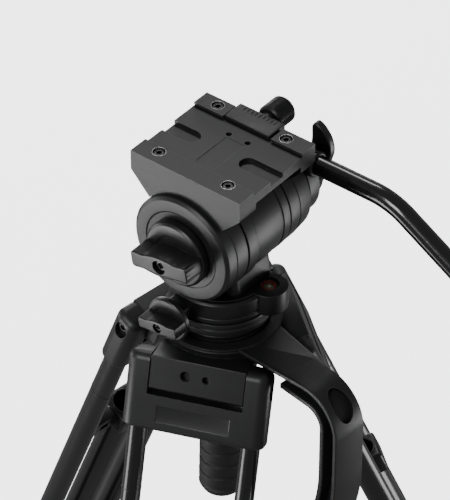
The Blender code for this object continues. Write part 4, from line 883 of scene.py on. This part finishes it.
def rosette_teeth():
    """Ring of small teeth at the joint between the right drum and the handle's holder."""
    teeth = []
    for i in range(60):
        tooth = block((HOLDER_X0 - 0.0005, HOLDER_R - 0.0030, -0.0006),
                      (HOLDER_X0 + 0.0012, HOLDER_R - 0.0010, 0.0006),
                      0.0003, 1)
        teeth.append(moved(tooth, Matrix.Rotation(2 * pi * i / 60, 4, 'X')))
    return together(*teeth)


def handle_lever():
    """Curved wing lever on a round hub, its screw moulded in."""
    x0 = HOLDER_X1 + 0.0014
    x1 = x0 + 0.0070
    hub = turned([(0, x0), (0.0138, x0), (0.0140, x0 + 0.0004), (0.0140, x1 + 0.0018), (0.0126, x1 + 0.0030),
                  (0.0070, x1 + 0.0030), (0.0062, x1 + 0.0020), (0, x1 + 0.0020)], ROUND, False, True, 0.0005)
    wing = [(-0.0060, -0.0200), (-0.0200, -0.0220), (-0.0290, -0.0127), (-0.0316, 0.0),
            (-0.0370, 0.0150), (-0.0420, 0.0310), (-0.0390, 0.0430), (-0.0320, 0.0510),
            (-0.0258, 0.0540), (-0.0225, 0.0500), (-0.0230, 0.0360), (-0.0190, 0.0200), (0.0, 0.0120)]
    blade = plate(softened(wing, 0.0080, True, 5), x1 - x0, stands_on_x((x0 + x1) / 2), edge=0.0016)
    hollow = [(-0.0300, 0.0080), (-0.0362, 0.0300), (-0.0330, 0.0420), (-0.0285, 0.0440), (-0.0265, 0.0300),
              (-0.0230, 0.0120)]
    pocket = plate(softened(hollow, 0.0030, True, 4), 0.0016, stands_on_x(x1))
    screw = rod((HOLDER_X0 + 0.006, 0, 0), (x1, 0, 0), 0.0050)
    return cut(join(blade, hub, screw), pocket)


def hand_grip(start, end):
    """Ribbed rubber grip, a little barrelled, with a plain collar at each end."""
    ribs, length = 24, (end - start).length
    profile = [(BAR_R + FIT, 0.0), (HAND_GRIP_R * 0.93, 0.0), (HAND_GRIP_R * 0.97, 0.012),
               (HAND_GRIP_R * 0.97, 0.055)]
    for i in range(ribs):
        share = 0.065 + 0.86 * i / ribs
        radius = HAND_GRIP_R * (0.94 + 0.055 * sin(pi * share))
        profile += [(radius, share), (radius, share + 0.022), (radius - 0.0008, share + 0.025),
                    (radius - 0.0008, share + 0.032)]
    profile += [(HAND_GRIP_R * 0.97, 0.935), (HAND_GRIP_R * 0.97, 0.985), (HAND_GRIP_R * 0.86, 1.0), (0, 1.0),
                (0, 1.0 - 0.0036 / length), (BAR_R + FIT, 1.0 - 0.0036 / length)]
    run = end - start
    mesh = turned([(radius, share * length) for radius, share in profile], FINE, False, False, 0.0003)
    turn = Vector((0, 0, 1)).rotation_difference(run).to_matrix().to_4x4()
    return moved(mesh, turn, Matrix.Translation(start))


route = bar_route()
drop = (route[-1] - route[-2]).normalized()
grip_start, grip_end = route[-1] - drop * (HAND_GRIP - 0.004), route[-1] + drop * 0.004
piece("holder_casting", handle_holder(), CASTING, "handle", "handle_holder", bevel=0.0003)
piece("rosette_teeth", rosette_teeth(), DARK, "handle", at=TILT, bevel=0.0)
piece("bar", wire(route, BAR_R, 10), GLOSS, "handle", "pan_bar", bevel=0.0)
piece("ribbed_grip", hand_grip(grip_start, grip_end), RUBBER, "handle", "hand_grip", bevel=0.0)
piece("wing_lever", handle_lever(), PLASTIC, "handle_lever", "handle_lever", at=TILT, bevel=0.0)


# ================================================================ crown, bowl and leveller
def leg_matrix(index, lean=LEG_SPREAD):
    """World frame of a leg: origin on its hinge, X outwards, Z up along the leg, Y sideways."""
    turn = Matrix.Rotation(radians(LEG_AZIMUTHS[index]), 4, 'Z')
    return HEAD @ turn @ Matrix.Translation((PIVOT_RADIUS, 0, -PIVOT_DROP)) @ Matrix.Rotation(-lean, 4, 'Y')


def crown():
    """Bowl with its double-lined rim and the three lobes that carry the legs."""
    slope = [(BOWL_OUTER * cos(radians(a)), -BOWL_OUTER * sin(radians(a))) for a in range(20, 69, 4)]
    body = turned([(0, -0.0006), (RIM_R, -0.0006), (RIM_R, -0.0024), (RIM_R - 0.0008, -0.0027),
                   (RIM_R - 0.0008, -0.0034), (RIM_R, -0.0037), (RIM_R, -0.0052), (RIM_R - 0.0014, -0.0062),
                   (RIM_R - 0.0014, -0.0130)] + slope + [(0, slope[-1][1])], ROUND, False, False, 0.0006)
    width = 2 * (BRACKET_OPEN - 0.0005)
    for i in range(3):
        nose = [(min(x, LOBE_FRONT), z) for x, z in arc((0, 0), LOBE_R, 32, -148, 40)]
        outline = softened(nose + [(-0.022, -0.011), (-0.022, 0.0140)], 0.0022)
        lobe = plate(outline, width, upright(), edge=0.0009)
        body = join(body, moved(lobe, HEAD.inverted() @ leg_matrix(i)))
    inner = BALL_R + 0.0004
    seat = [(0.0, 0.01), (inner + 0.0016, 0.01), (inner + 0.0016, -0.0004), (inner + 0.0003, -0.0018)] + \
           [(inner * cos(radians(a)), -inner * sin(radians(a))) for a in range(5, 86, 5)] + [(0.0, -inner)]
    body = cut(body, turned(seat, ROUND, False, False, 0.0), rod((0, 0, -0.08), (0, 0, 0), 0.0165),
               ring(BOWL_OUTER + 0.0012, 0.075, -0.075, -0.0410, ROUND))
    tools = []
    for i in range(3):
        place = HEAD.inverted() @ leg_matrix(i)
        tools.append(moved(rod((0, -0.05, 0), (0, 0.05, 0), 0.0033, SMALL), place))
        for y, radius in ((-0.0095, 0.0040), (0.0068, 0.0027)):
            hole = turned([(0, LOBE_FRONT - 0.0070), (radius, LOBE_FRONT - 0.0070),
                           (radius, LOBE_FRONT - 0.0006),
                           (radius + 0.0012, LOBE_FRONT + 0.0006), (radius + 0.0012, LOBE_FRONT + 0.004),
                           (0, LOBE_FRONT + 0.004)], SMALL, False, True, 0.0)
            if i == 0:
                tools.append(moved(hole, (0, y, -0.002), place))
    return cut(body, *tools)


def hinge_pin():
    """Axle of a leg hinge with a socket head in each of the bracket's pockets."""
    ends = [cap_screw((0, side * (BRACKET_HALF - 0.0016), 0), (0, side, 0), 0.0050, 0.0034, 0.0030, 0.0300)
            for side in (-1, 1)]
    middle = rod((0, -BRACKET_OPEN, 0), (0, BRACKET_OPEN, 0), 0.0030, SMALL)
    return together(middle, *ends)


piece("crown_casting", crown(), CASTING, "crown", "crown", bevel=0.0004, steps=3)
for i in range(3):
    number = str(i + 1)
    piece("hinge_pin_screws_" + number, hinge_pin(), SCREWS, "crown", "hinge_pin_" + number,
          at=leg_matrix(i), bevel=0.0)


def handle_frame():
    """Handle outlines are drawn as (outwards, up) and stand in the handle's upright plane."""
    return Matrix.Rotation(radians(HANDLE_AZIMUTH), 4, 'Z') @ upright()


def strap_path(inset, start, short=0.0):
    bend = arc((BEND_X, ARM_TOP - BEND_R), BEND_R - inset, 90, 0, 28)
    hook = arc((BEND_X + BEND_R - HOOK_R, STRAIGHT_END), HOOK_R - inset, 0, short - HOOK_ANGLE, 20)
    return [(start, ARM_TOP - inset)] + bend + hook


def cap_prism(shrink, low, high):
    """Oval prism that stands on the handle's bend, to cut its opening and to shape the plug in it."""
    lean = radians(44)
    centre = Matrix.Translation((BEND_X, 0, ARM_TOP - BEND_R))
    prism = plate(oval((0, 0), 0.0150 - shrink, 0.0088 - shrink), high - low,
                  Matrix.Translation((0, 0, BEND_R - STRAP_T + (low + high) / 2)))
    turn = Matrix.Rotation(radians(HANDLE_AZIMUTH), 4, 'Z')
    return moved(prism, turn @ centre @ Matrix.Rotation(pi / 2 - lean, 4, 'Y'))


def bend_sheet(outside, inside, half, edge=0.0):
    """Part of the handle's bend between two insets, as wide as asked."""
    outline = arc((BEND_X, ARM_TOP - BEND_R), BEND_R - outside, 84, 2, 40) + \
        arc((BEND_X, ARM_TOP - BEND_R), BEND_R - inside, 2, 84, 40)
    return plate(outline, 2 * half, handle_frame(), edge=edge)


def carry_handle():
    """I-section handle: an outer strap, a thin web and an inner flange, hooked in at its end."""
    def layer(outer, inner, start, width, short, edge):
        outline = strap_path(outer, start, short) + strap_path(inner, start, short)[::-1]
        return plate(outline, width, handle_frame(), edge=edge)

    strap = layer(0.0, STRAP_T, BEND_X - 0.02, 2 * HANDLE_HALF, 0.0, 0.0011)
    web = layer(STRAP_T - 0.0005, HANDLE_DEPTH - 0.003, 0.0795, 0.0050, 1.0, 0.0)
    flange = layer(HANDLE_DEPTH - 0.0045, HANDLE_DEPTH, 0.0791, 2 * HANDLE_HALF - 0.003, 0.5, 0.0012)
    turn = Matrix.Rotation(radians(HANDLE_AZIMUTH), 4, 'Z')
    arm = plate([(0.030, -0.0235), (BEND_X - 0.0005, 0.0003 - HANDLE_HALF),
                 (BEND_X - 0.0005, HANDLE_HALF - 0.0003),
                 (0.030, 0.0235)], STRAP_T - 0.0004, turn @ Matrix.Translation((0, 0, ARM_TOP - STRAP_T / 2)),
                edge=0.0010)
    root = moved(block((RIM_R + FIT - 0.004, -0.0055, -0.0200), (0.0835, 0.0055, ARM_TOP - 0.001), 0.0012),
                 turn)
    end_x, end_z = strap_path(0.0, 0.0)[-1]
    half = HANDLE_HALF - 0.0004
    tip = moved(turned([(0, half), (0.0110, half), (0.0110, -half), (0, -half)], FINE, False, False, 0.0014),
                Matrix.Rotation(pi / 2, 4, 'X'), (end_x - 0.0100, 0, end_z + 0.0045), turn)
    body = join(strap, arm, web, flange, root, tip)
    bore = rod((0, 0, -0.1), (0, 0, 0.01), RIM_R + FIT, ROUND)
    opening = boolean(bend_sheet(-0.0030, STRAP_T + 0.0002, HANDLE_HALF + 0.001),
                      cap_prism(0.0, -0.010, 0.020), 'INTERSECT')
    return cut(body, bore, opening)


def handle_cap():
    sheet = bend_sheet(0.0031, STRAP_T - 0.0002, HANDLE_HALF)
    return boolean(sheet, cap_prism(FIT, -0.008, 0.015), 'INTERSECT')


piece("handle_casting", carry_handle(), CASTING, "crown", "carry_handle", bevel=0.0005)
# The oval cap is painted near black, as the painted shade of a deep hole.
piece("handle_oval_cap", handle_cap(), PAINTED_SHADE_PLUG, "crown", "handle_cap", bevel=0.0003)


def level_cup():
    bearing = BOWL_OUTER + RUN
    steps = [radians(90 - a) for a in range(0, 33, 2)]
    inner = [(bearing * cos(a), -bearing * sin(a)) for a in steps]
    outer = [(CUP_OUTER * cos(a), -CUP_OUTER * sin(a)) for a in steps]
    dome = turned([(0.0, inner[0][1])] + inner[1:] + outer[:0:-1] + [(0.0, outer[0][1])], ROUND, False,
                  False, 0.0002)
    reach = CUP_OUTER * sin(radians(8.0)) + 0.0004
    slot = block((-STUD_R - RUN, -reach, -0.06), (STUD_R + RUN, reach, -0.03))
    ends = [rod((0, s * reach, -0.06), (0, s * reach, -0.03), STUD_R + RUN) for s in (-1, 1)]
    return cut(dome, slot, *ends)


def tie_down_grip():
    """Moulded grip, wider towards its foot, with ring ribs all the way down and eight upright flutes."""
    length, pitch = GRIP_TOP - GRIP_BOTTOM, 0.0128
    profile = [(0, GRIP_TOP), (0.0090, GRIP_TOP), (0.0120, GRIP_TOP - 0.0040),
               (GRIP_R_TOP - 0.0012, GRIP_TOP - 0.0075)]
    first, last = GRIP_TOP - 0.0100, GRIP_BOTTOM + 0.0060
    for i in range(int((first - last) / pitch)):
        height = first - pitch * i
        radius = GRIP_R_TOP + (GRIP_R_BOTTOM - GRIP_R_TOP) * (GRIP_TOP - height) / length
        profile += [(radius, height), (radius, height - pitch * 0.74),
                    (radius - 0.0011, height - pitch * 0.80),
                    (radius - 0.0011, height - pitch * 0.94)]
    profile += [(GRIP_R_BOTTOM, last), (GRIP_R_BOTTOM - 0.0030, GRIP_BOTTOM), (0.0100, GRIP_BOTTOM),
                (0.0090, GRIP_BOTTOM + 0.0020), (0, GRIP_BOTTOM + 0.0020)]
    body = turned(profile, FINE, False, False, 0.0006)
    flutes = []
    for i in range(8):
        angle = 2 * pi * i / 8
        flute = rod((0.0238, 0, GRIP_TOP - 0.014), (0.0262, 0, GRIP_BOTTOM + 0.010), 0.0062)
        flutes.append(moved(flute, Matrix.Rotation(angle, 4, 'Z')))
    return cut(body, rod((0, 0, -0.0853), (0, 0, 0), STUD_R + FIT), *flutes)


piece("leveller_cup", level_cup(), STEEL, "level_cup", "level_cup", bevel=0.0003)
piece("leveller_grip", tie_down_grip(), RUBBER, "grip", "tie_down_grip", bevel=0.0003)


# ================================================================ legs
def rounded_block(low, high, upright_edge, top, bottom):
    """A box with its upright edges rounded first, then its top and bottom rims."""
    body = bmesh.new()
    bmesh.ops.create_cube(body, size=1.0)
    bmesh.ops.scale(body, vec=Vector(high) - Vector(low), verts=body.verts)
    bmesh.ops.translate(body, vec=(Vector(high) + Vector(low)) / 2, verts=body.verts)
    sides = [e for e in body.edges if abs(e.verts[0].co.z - e.verts[1].co.z) > 1e-6]
    bmesh.ops.bevel(body, geom=sides, offset=upright_edge, offset_type='OFFSET', segments=10,
                    profile=0.5, affect='EDGES', clamp_overlap=True)
    for level, width in ((high[2], top), (low[2], bottom)):
        edge = [e for e in body.edges if all(abs(v.co.z - level) < 1e-6 for v in e.verts)]
        bmesh.ops.bevel(body, geom=edge, offset=width, offset_type='OFFSET', segments=8,
                        profile=0.5, affect='EDGES', clamp_overlap=True)
    mesh = bpy.data.meshes.new("rounded")
    body.to_mesh(mesh)
    body.free()
    return mesh


def oval_bar(y, low, high, grow, wall=0.0):
    outline = oval((0, y), TUBE_A + grow, TUBE_B + grow)
    holes = [oval((0, y), TUBE_A - wall, TUBE_B - wall)] if wall > 0.0 else []
    return plate(outline, high - low, Matrix.Translation((0, 0, (low + high) / 2)), holes)


def shoulder_bracket():
    """Two rounded columns on a bar, with a pocket for each hinge screw and a socket for each tube."""
    body = rounded_block((-BRACKET_DEEP, -BRACKET_HALF, -BAR_BOTTOM),
                         (BRACKET_DEEP, BRACKET_HALF, COLUMN_TOP),
                         0.0090, 0.0070, 0.0030)
    tools = [block((-0.03, -BRACKET_OPEN, -BAR_TOP), (0.03, BRACKET_OPEN, 0.03)),
             rod((0, -0.07, 0), (0, 0.07, 0), 0.0033, SMALL)]
    for side in (-1, 1):
        tools.append(oval_bar(side * HALF_SPACING, -BAR_BOTTOM - 0.01, -BAR_BOTTOM + SOCKET_DEPTH, FIT))
        mouth = oval_bar(side * HALF_SPACING, -BAR_BOTTOM - 0.01, -BAR_BOTTOM + 0.0010, 0.0009)
        tools.append(mouth)
        place = Matrix(((1, 0, 0, 0), (0, 0, -1, side * (BRACKET_HALF + 0.0008)), (0, 1, 0, 0), (0, 0, 0, 1)))
        tools.append(plate(oval((0, -0.0030), 0.0060, 0.0092), 0.0120, place))
    for side in (-1, 1):
        groove = block((side * (BRACKET_DEEP - 0.0005), -0.0300, -0.0440),
                       (side * (BRACKET_DEEP + 0.004), 0.0300, -0.0290),
                       0.0012) if side > 0 else \
            block((-BRACKET_DEEP - 0.004, -0.0300, -0.0440), (0.0005 - BRACKET_DEEP, 0.0300, -0.0290), 0.0012)
        tools.append(groove)
    return cut(body, *tools)


def leg_collar():
    """Lower casting of a leg: joins the two tubes, guides the lower one and carries the flip lever."""
    body = rounded_block((-COLLAR_DEEP, -BRACKET_HALF, -COLLAR_LOW), (COLLAR_DEEP, BRACKET_HALF, -COLLAR_TOP),
                         0.0090, 0.0025, 0.0025)
    lug = plate(oval((LUG_X, LUG_Z), 0.0055, 0.0055, SMALL), 0.0042, upright(), edge=0.0005)
    lug_foot = block((LUG_X, -0.0021, LUG_Z - 0.0055), (0.002 - COLLAR_DEEP, 0.0021, LUG_Z + 0.0055), 0.0005)
    ears = []
    for side in (-1, 1):
        a, b = sorted((side * 0.0100, side * 0.0135))
        ears.append(rod((LEVER_X, a, LEVER_Z), (LEVER_X, b, LEVER_Z), 0.0052))
        ears.append(block((COLLAR_DEEP - 0.002, a, LEVER_Z - 0.0050), (LEVER_X, b, LEVER_Z + 0.0050)))
    pin = rod((LEVER_X, -0.0120, LEVER_Z), (LEVER_X, 0.0120, LEVER_Z), 0.0018, SMALL)
    body = join(body, lug, lug_foot, *ears, pin)
    tools = [rod((0, 0, -COLLAR_LOW - 0.01), (0, 0, -COLLAR_TOP + 0.01), LOW_TUBE_R + RUN)]
    for side in (-1, 1):
        tools.append(oval_bar(side * HALF_SPACING, -COLLAR_LOW + 0.0060, -COLLAR_TOP + 0.01, FIT))
        tools.append(block((COLLAR_DEEP - 0.0005, side * 0.0345 - 0.0125, -COLLAR_LOW + 0.0075),
                           (COLLAR_DEEP + 0.004, side * 0.0345 + 0.0125, -COLLAR_TOP - 0.0075), 0.0012))
    return cut(body, *tools)


def flip_lever():
    """Cam lever of a leg lock, thumbed at its end, with grip lines across its face."""
    outline = arc((0, 0), 0.0050, 200, 20, 24) + [(0.0056, -0.0080), (0.0066, -0.0180), (0.0062, -0.0300),
                                                  (0.0040, -0.0330), (-0.0010, -0.0300), (-0.0012, -0.0080)]
    lever = plate(softened(outline, 0.0012), 0.0192, upright(), edge=0.0007)
    grooves = [block((0.0056, -0.0075, -0.0215 - 0.0020 * i),
                     (0.010, 0.0075, -0.0206 - 0.0020 * i)) for i in range(5)]
    lever = cut(lever, rod((0, -0.02, 0), (0, 0.02, 0), 0.0022, SMALL), *grooves)
    return moved(lever, (LEVER_X, 0, LEVER_Z))


def lower_tube():
    """Sliding tube of a leg with its chamfered top."""
    return ring(LOW_TUBE_R - 0.0015, LOW_TUBE_R, -LOW_TUBE_END, -LOW_TUBE_TOP, FINE, False, 0.0004)


def tube_guide():
    """Nylon guide at the top of the sliding tube, with a wing to each upper tube."""
    half = HALF_SPACING - TUBE_B - 0.0006
    guide = block((-0.0150, -0.0150, -LOW_TUBE_TOP - 0.0220), (0.0150, 0.0150, -LOW_TUBE_TOP - 0.0010),
                  0.0030)
    wings = block((-0.0050, -half, -LOW_TUBE_TOP - 0.0200), (0.0050, half, -LOW_TUBE_TOP - 0.0030), 0.0012)
    window = block((-0.02, -0.030, -LOW_TUBE_TOP - 0.0150), (0.02, -0.021, -LOW_TUBE_TOP - 0.0080), 0.0008)
    other = block((-0.02, 0.021, -LOW_TUBE_TOP - 0.0150), (0.02, 0.030, -LOW_TUBE_TOP - 0.0080), 0.0008)
    core = rod((0, 0, -LOW_TUBE_TOP - 0.03), (0, 0, -LOW_TUBE_TOP + 0.01), LOW_TUBE_R - 0.0002)
    return cut(join(guide, wings), core, window, other)


def foot(index):
    """Rubber boot with rings round it, its sole flat on the floor."""
    neck, boot, sole = LOW_TUBE_R + 0.0030, LOW_TUBE_R + 0.0060, LOW_TUBE_R + 0.0080
    top, low = -LEG_TO_FLOOR + FOOT_HEIGHT, -LEG_TO_FLOOR - 0.0120
    profile = [(0, top), (neck, top), (neck + 0.0003, top - 0.0040), (neck - 0.0006, top - 0.0046),
               (neck - 0.0004, top - 0.0060), (neck + 0.0006, top - 0.0066), (boot, top - 0.0240)]
    for i in range(4):
        height = top - 0.0270 - 0.0050 * i
        radius = boot + (sole - boot) * (top - height - 0.024) / 0.038
        profile += [(radius, height), (radius - 0.0008, height - 0.0008), (radius - 0.0008, height - 0.0018),
                    (radius + 0.0001, height - 0.0026)]
    profile += [(sole, low), (0, low)]
    body = turned(profile, FINE, False, False, 0.0004)
    body = cut(body, rod((0, 0, -LOW_TUBE_END - FIT), (0, 0, 0), LOW_TUBE_R + FIT))
    sole_x = PIVOT_RADIUS + LEG_TO_FLOOR * sin(LEG_SPREAD)
    floor = moved(block((-0.1, -0.1, -0.1), (0.1, 0.1, 0.0)), (sole_x, 0, 0),
                  leg_matrix(index).inverted() @ Matrix.Rotation(radians(LEG_AZIMUTHS[index]), 4, 'Z'))
    return cut(body, floor)


for i in range(3):
    number, at = str(i + 1), leg_matrix(i)
    leg = "leg_" + number
    piece("bracket_casting_" + number, shoulder_bracket(), CASTING, leg, "shoulder_bracket_" + number, at=at,
          bevel=0.0005, steps=3)
    for letter, side in (("a", -1), ("b", 1)):
        high, low = -BAR_BOTTOM + SOCKET_DEPTH - FIT, -COLLAR_LOW + 0.0065
        tube = oval_bar(side * HALF_SPACING, low, high, 0.0, 0.0013)
        piece("oval_tube_" + number + letter, tube, TUBE, leg, "upper_tube_" + number + letter, at=at,
              bevel=0.0)
        seam = plate(oval((0, side * HALF_SPACING), TUBE_A + 0.0002, TUBE_B + 0.0002), 0.0008,
                     Matrix.Translation((0, 0, -0.1050)), [oval((0, side * HALF_SPACING), TUBE_A, TUBE_B)])
        piece("tube_seam_" + number + letter, seam, DARK, leg, at=at, bevel=0.0)
    piece("collar_casting_" + number, leg_collar(), CASTING, leg, "leg_collar_" + number, at=at, bevel=0.0004)
    piece("flip_lever_" + number, flip_lever(), PLASTIC, "lock_" + number, "lock_lever_" + number, at=at,
          bevel=0.0)
    piece("sliding_tube_" + number, lower_tube(), TUBE, "extension_" + number, "lower_tube_" + number,
          at=at, bevel=0.0)
    piece("tube_guide_" + number, tube_guide(), PLASTIC, "extension_" + number, at=at, bevel=0.0003)
    piece("rubber_foot_" + number, foot(i), RUBBER, "extension_" + number, "foot_" + number, at=at,
          bevel=0.0003)


# ================================================================ spreader
def lug_place():
    """The collar's lug in the leg's upright plane: distance from the pan axis and height."""
    radial = PIVOT_RADIUS + LUG_X * cos(LEG_SPREAD) - LUG_Z * sin(LEG_SPREAD)
    return radial, -PIVOT_DROP + LUG_X * sin(LEG_SPREAD) + LUG_Z * cos(LEG_SPREAD)


def spreader_hub():
    """Moulded hub with a domed button on top and a slot and a pin for each arm."""
    body = turned([(0, -HUB_DROP + 0.0130), (0.0072, -HUB_DROP + 0.0130), (0.0094, -HUB_DROP + 0.0085),
                   (0.0120, -HUB_DROP + 0.0080), (HUB_R, -HUB_DROP + 0.0070), (HUB_R, -HUB_DROP - 0.0070),
                   (HUB_R - 0.003, -HUB_DROP - 0.0080), (0, -HUB_DROP - 0.0080)], ROUND, False, False, 0.0012)
    slots, pins = [], []
    for azimuth in LEG_AZIMUTHS:
        turn = Matrix.Rotation(radians(azimuth), 4, 'Z')
        slots.append(moved(block((HUB_PIVOT_R - 0.0056, -0.0036, -HUB_DROP - 0.02),
                                 (0.04, 0.0036, -HUB_DROP + 0.02)), turn))
        pins.append(moved(rod((HUB_PIVOT_R, -0.0050, -HUB_DROP), (HUB_PIVOT_R, 0.0050, -HUB_DROP), PIN_R,
                              SMALL), turn))
    return join(cut(body, *slots), *pins)


def spreader_arm(index):
    """Flat arm with a lightening groove, forked where it meets the leg's collar."""
    radial, height = lug_place()
    run = Vector((radial - HUB_PIVOT_R, 0, height + HUB_DROP))
    length = run.length
    bar = arc((0, 0), 0.0045, 90, 270, 20) + [(length - 0.030, -0.0045), (length - 0.030, 0.0045)]
    fork = softened([(length - 0.0440, -0.0045, 0), (length - 0.0360, -0.0052)], 0.002, False) + \
        arc((length, 0), 0.0052, -90, 90, 20) + [(length - 0.0360, 0.0052), (length - 0.0440, 0.0045)]
    body = join(plate(bar, 0.0060, upright(), edge=0.0005), plate(fork, 0.0104, upright(), edge=0.0007))
    slot = block((length - 0.0300, -0.0026, -0.02), (length + 0.02, 0.0026, 0.02))
    body = cut(body, slot, rod((0, -0.01, 0), (0, 0.01, 0), PIN_R + RUN, SMALL))
    for side in (-1, 1):
        a, b = sorted((side * 0.0024, side * 0.0060))
        body = cut(body, block((0.016, a, -0.0022), (length - 0.052, b, 0.0022), 0.0004))
    lean = Matrix.Rotation(atan2(-run.z, run.x), 4, 'Y')
    turn = Matrix.Rotation(radians(LEG_AZIMUTHS[index]), 4, 'Z')
    return moved(body, lean, (HUB_PIVOT_R, 0, -HUB_DROP), turn)


piece("moulded_hub", spreader_hub(), PLASTIC, "hub", "spreader_hub", bevel=0.0003)
for i in range(3):
    number = str(i + 1)
    piece("arm_casting_" + number, spreader_arm(i), CASTING, "arm_" + number, "spreader_arm_" + number,
          bevel=0.0)


# ================================================================ floor, light and camera
FLOOR_HALF = 40.0
FLOOR_GLOW = 3.2         # the floor is seen as bright paper, but lights nothing
WORLD_STRENGTH = 0.26
SENSOR_HEIGHT = 40.0
LENS = 271.62
CAMERA_PLACE = (-1.5673, -1.2438, 2.3210)
CAMERA_AIM = (0.00157, -0.0020, 0.66057)
HEAD_MIDDLE = (0.0, 0.0, 0.68)
LIGHTS = (               # name, place, (width, height), watts
    ("left", (-1.9, -0.1, 1.9), (0.7, 0.9), 26.0),
    ("low_left", (-0.95, 0.65, 0.15), (0.6, 0.6), 9.0),
    ("low_right", (0.75, -1.0, 0.15), (0.5, 0.6), 8.0),
    ("above", (0.9, 0.9, 2.3), (0.9, 0.35), 9.0),
    ("behind", (1.7, 1.5, 0.7), (1.2, 0.9), 16.0),
    ("behind_low", (-0.6, 1.9, 0.5), (0.9, 0.7), 9.0),
)


def floor_finish():
    made = Finish("floor", Roughness=0.75, Emission_Color=(1.0, 1.0, 1.0, 1.0), Emission_Strength=FLOOR_GLOW)
    made.feed('Base Color', made.mix(made.noise(0.8), (0.80, 0.80, 0.80), (0.84, 0.84, 0.84)))
    return made.material


def floor():
    """Plain pale floor."""
    body = bmesh.new()
    bmesh.ops.create_grid(body, x_segments=1, y_segments=1, size=FLOOR_HALF)
    mesh = bpy.data.meshes.new("floor")
    body.to_mesh(mesh)
    body.free()
    made = bpy.data.objects.new("floor", mesh)
    mesh.materials.append(floor_finish())
    made.visible_diffuse = False
    made.visible_glossy = False
    bpy.context.scene.collection.objects.link(made)


def area_light(name, place, aim, size, power):
    """A soft rectangular light turned to its aim."""
    light = bpy.data.lights.new(name, 'AREA')
    light.shape = 'RECTANGLE'
    light.size, light.size_y = size
    light.energy = power
    made = bpy.data.objects.new(name, light)
    made.location = place
    made.rotation_euler = (Vector(aim) - Vector(place)).to_track_quat('-Z', 'Y').to_euler()
    bpy.context.scene.collection.objects.link(made)


def camera():
    data = bpy.data.cameras.new("camera")
    data.sensor_fit = 'VERTICAL'
    data.sensor_height = SENSOR_HEIGHT
    data.lens = LENS
    made = bpy.data.objects.new("camera", data)
    made.location = CAMERA_PLACE
    made.rotation_euler = (Vector(CAMERA_AIM) - made.location).to_track_quat('-Z', 'Y').to_euler()
    bpy.context.scene.collection.objects.link(made)
    bpy.context.scene.camera = made


floor()
camera()
world = bpy.data.worlds.new("studio")
world.use_nodes = True
world.node_tree.nodes["Background"].inputs["Color"].default_value = (1.0, 1.0, 1.0, 1.0)
world.node_tree.nodes["Background"].inputs["Strength"].default_value = WORLD_STRENGTH
bpy.context.scene.world = world
for name, place, size, watts in LIGHTS:
    area_light(name, place, HEAD_MIDDLE, size, watts)
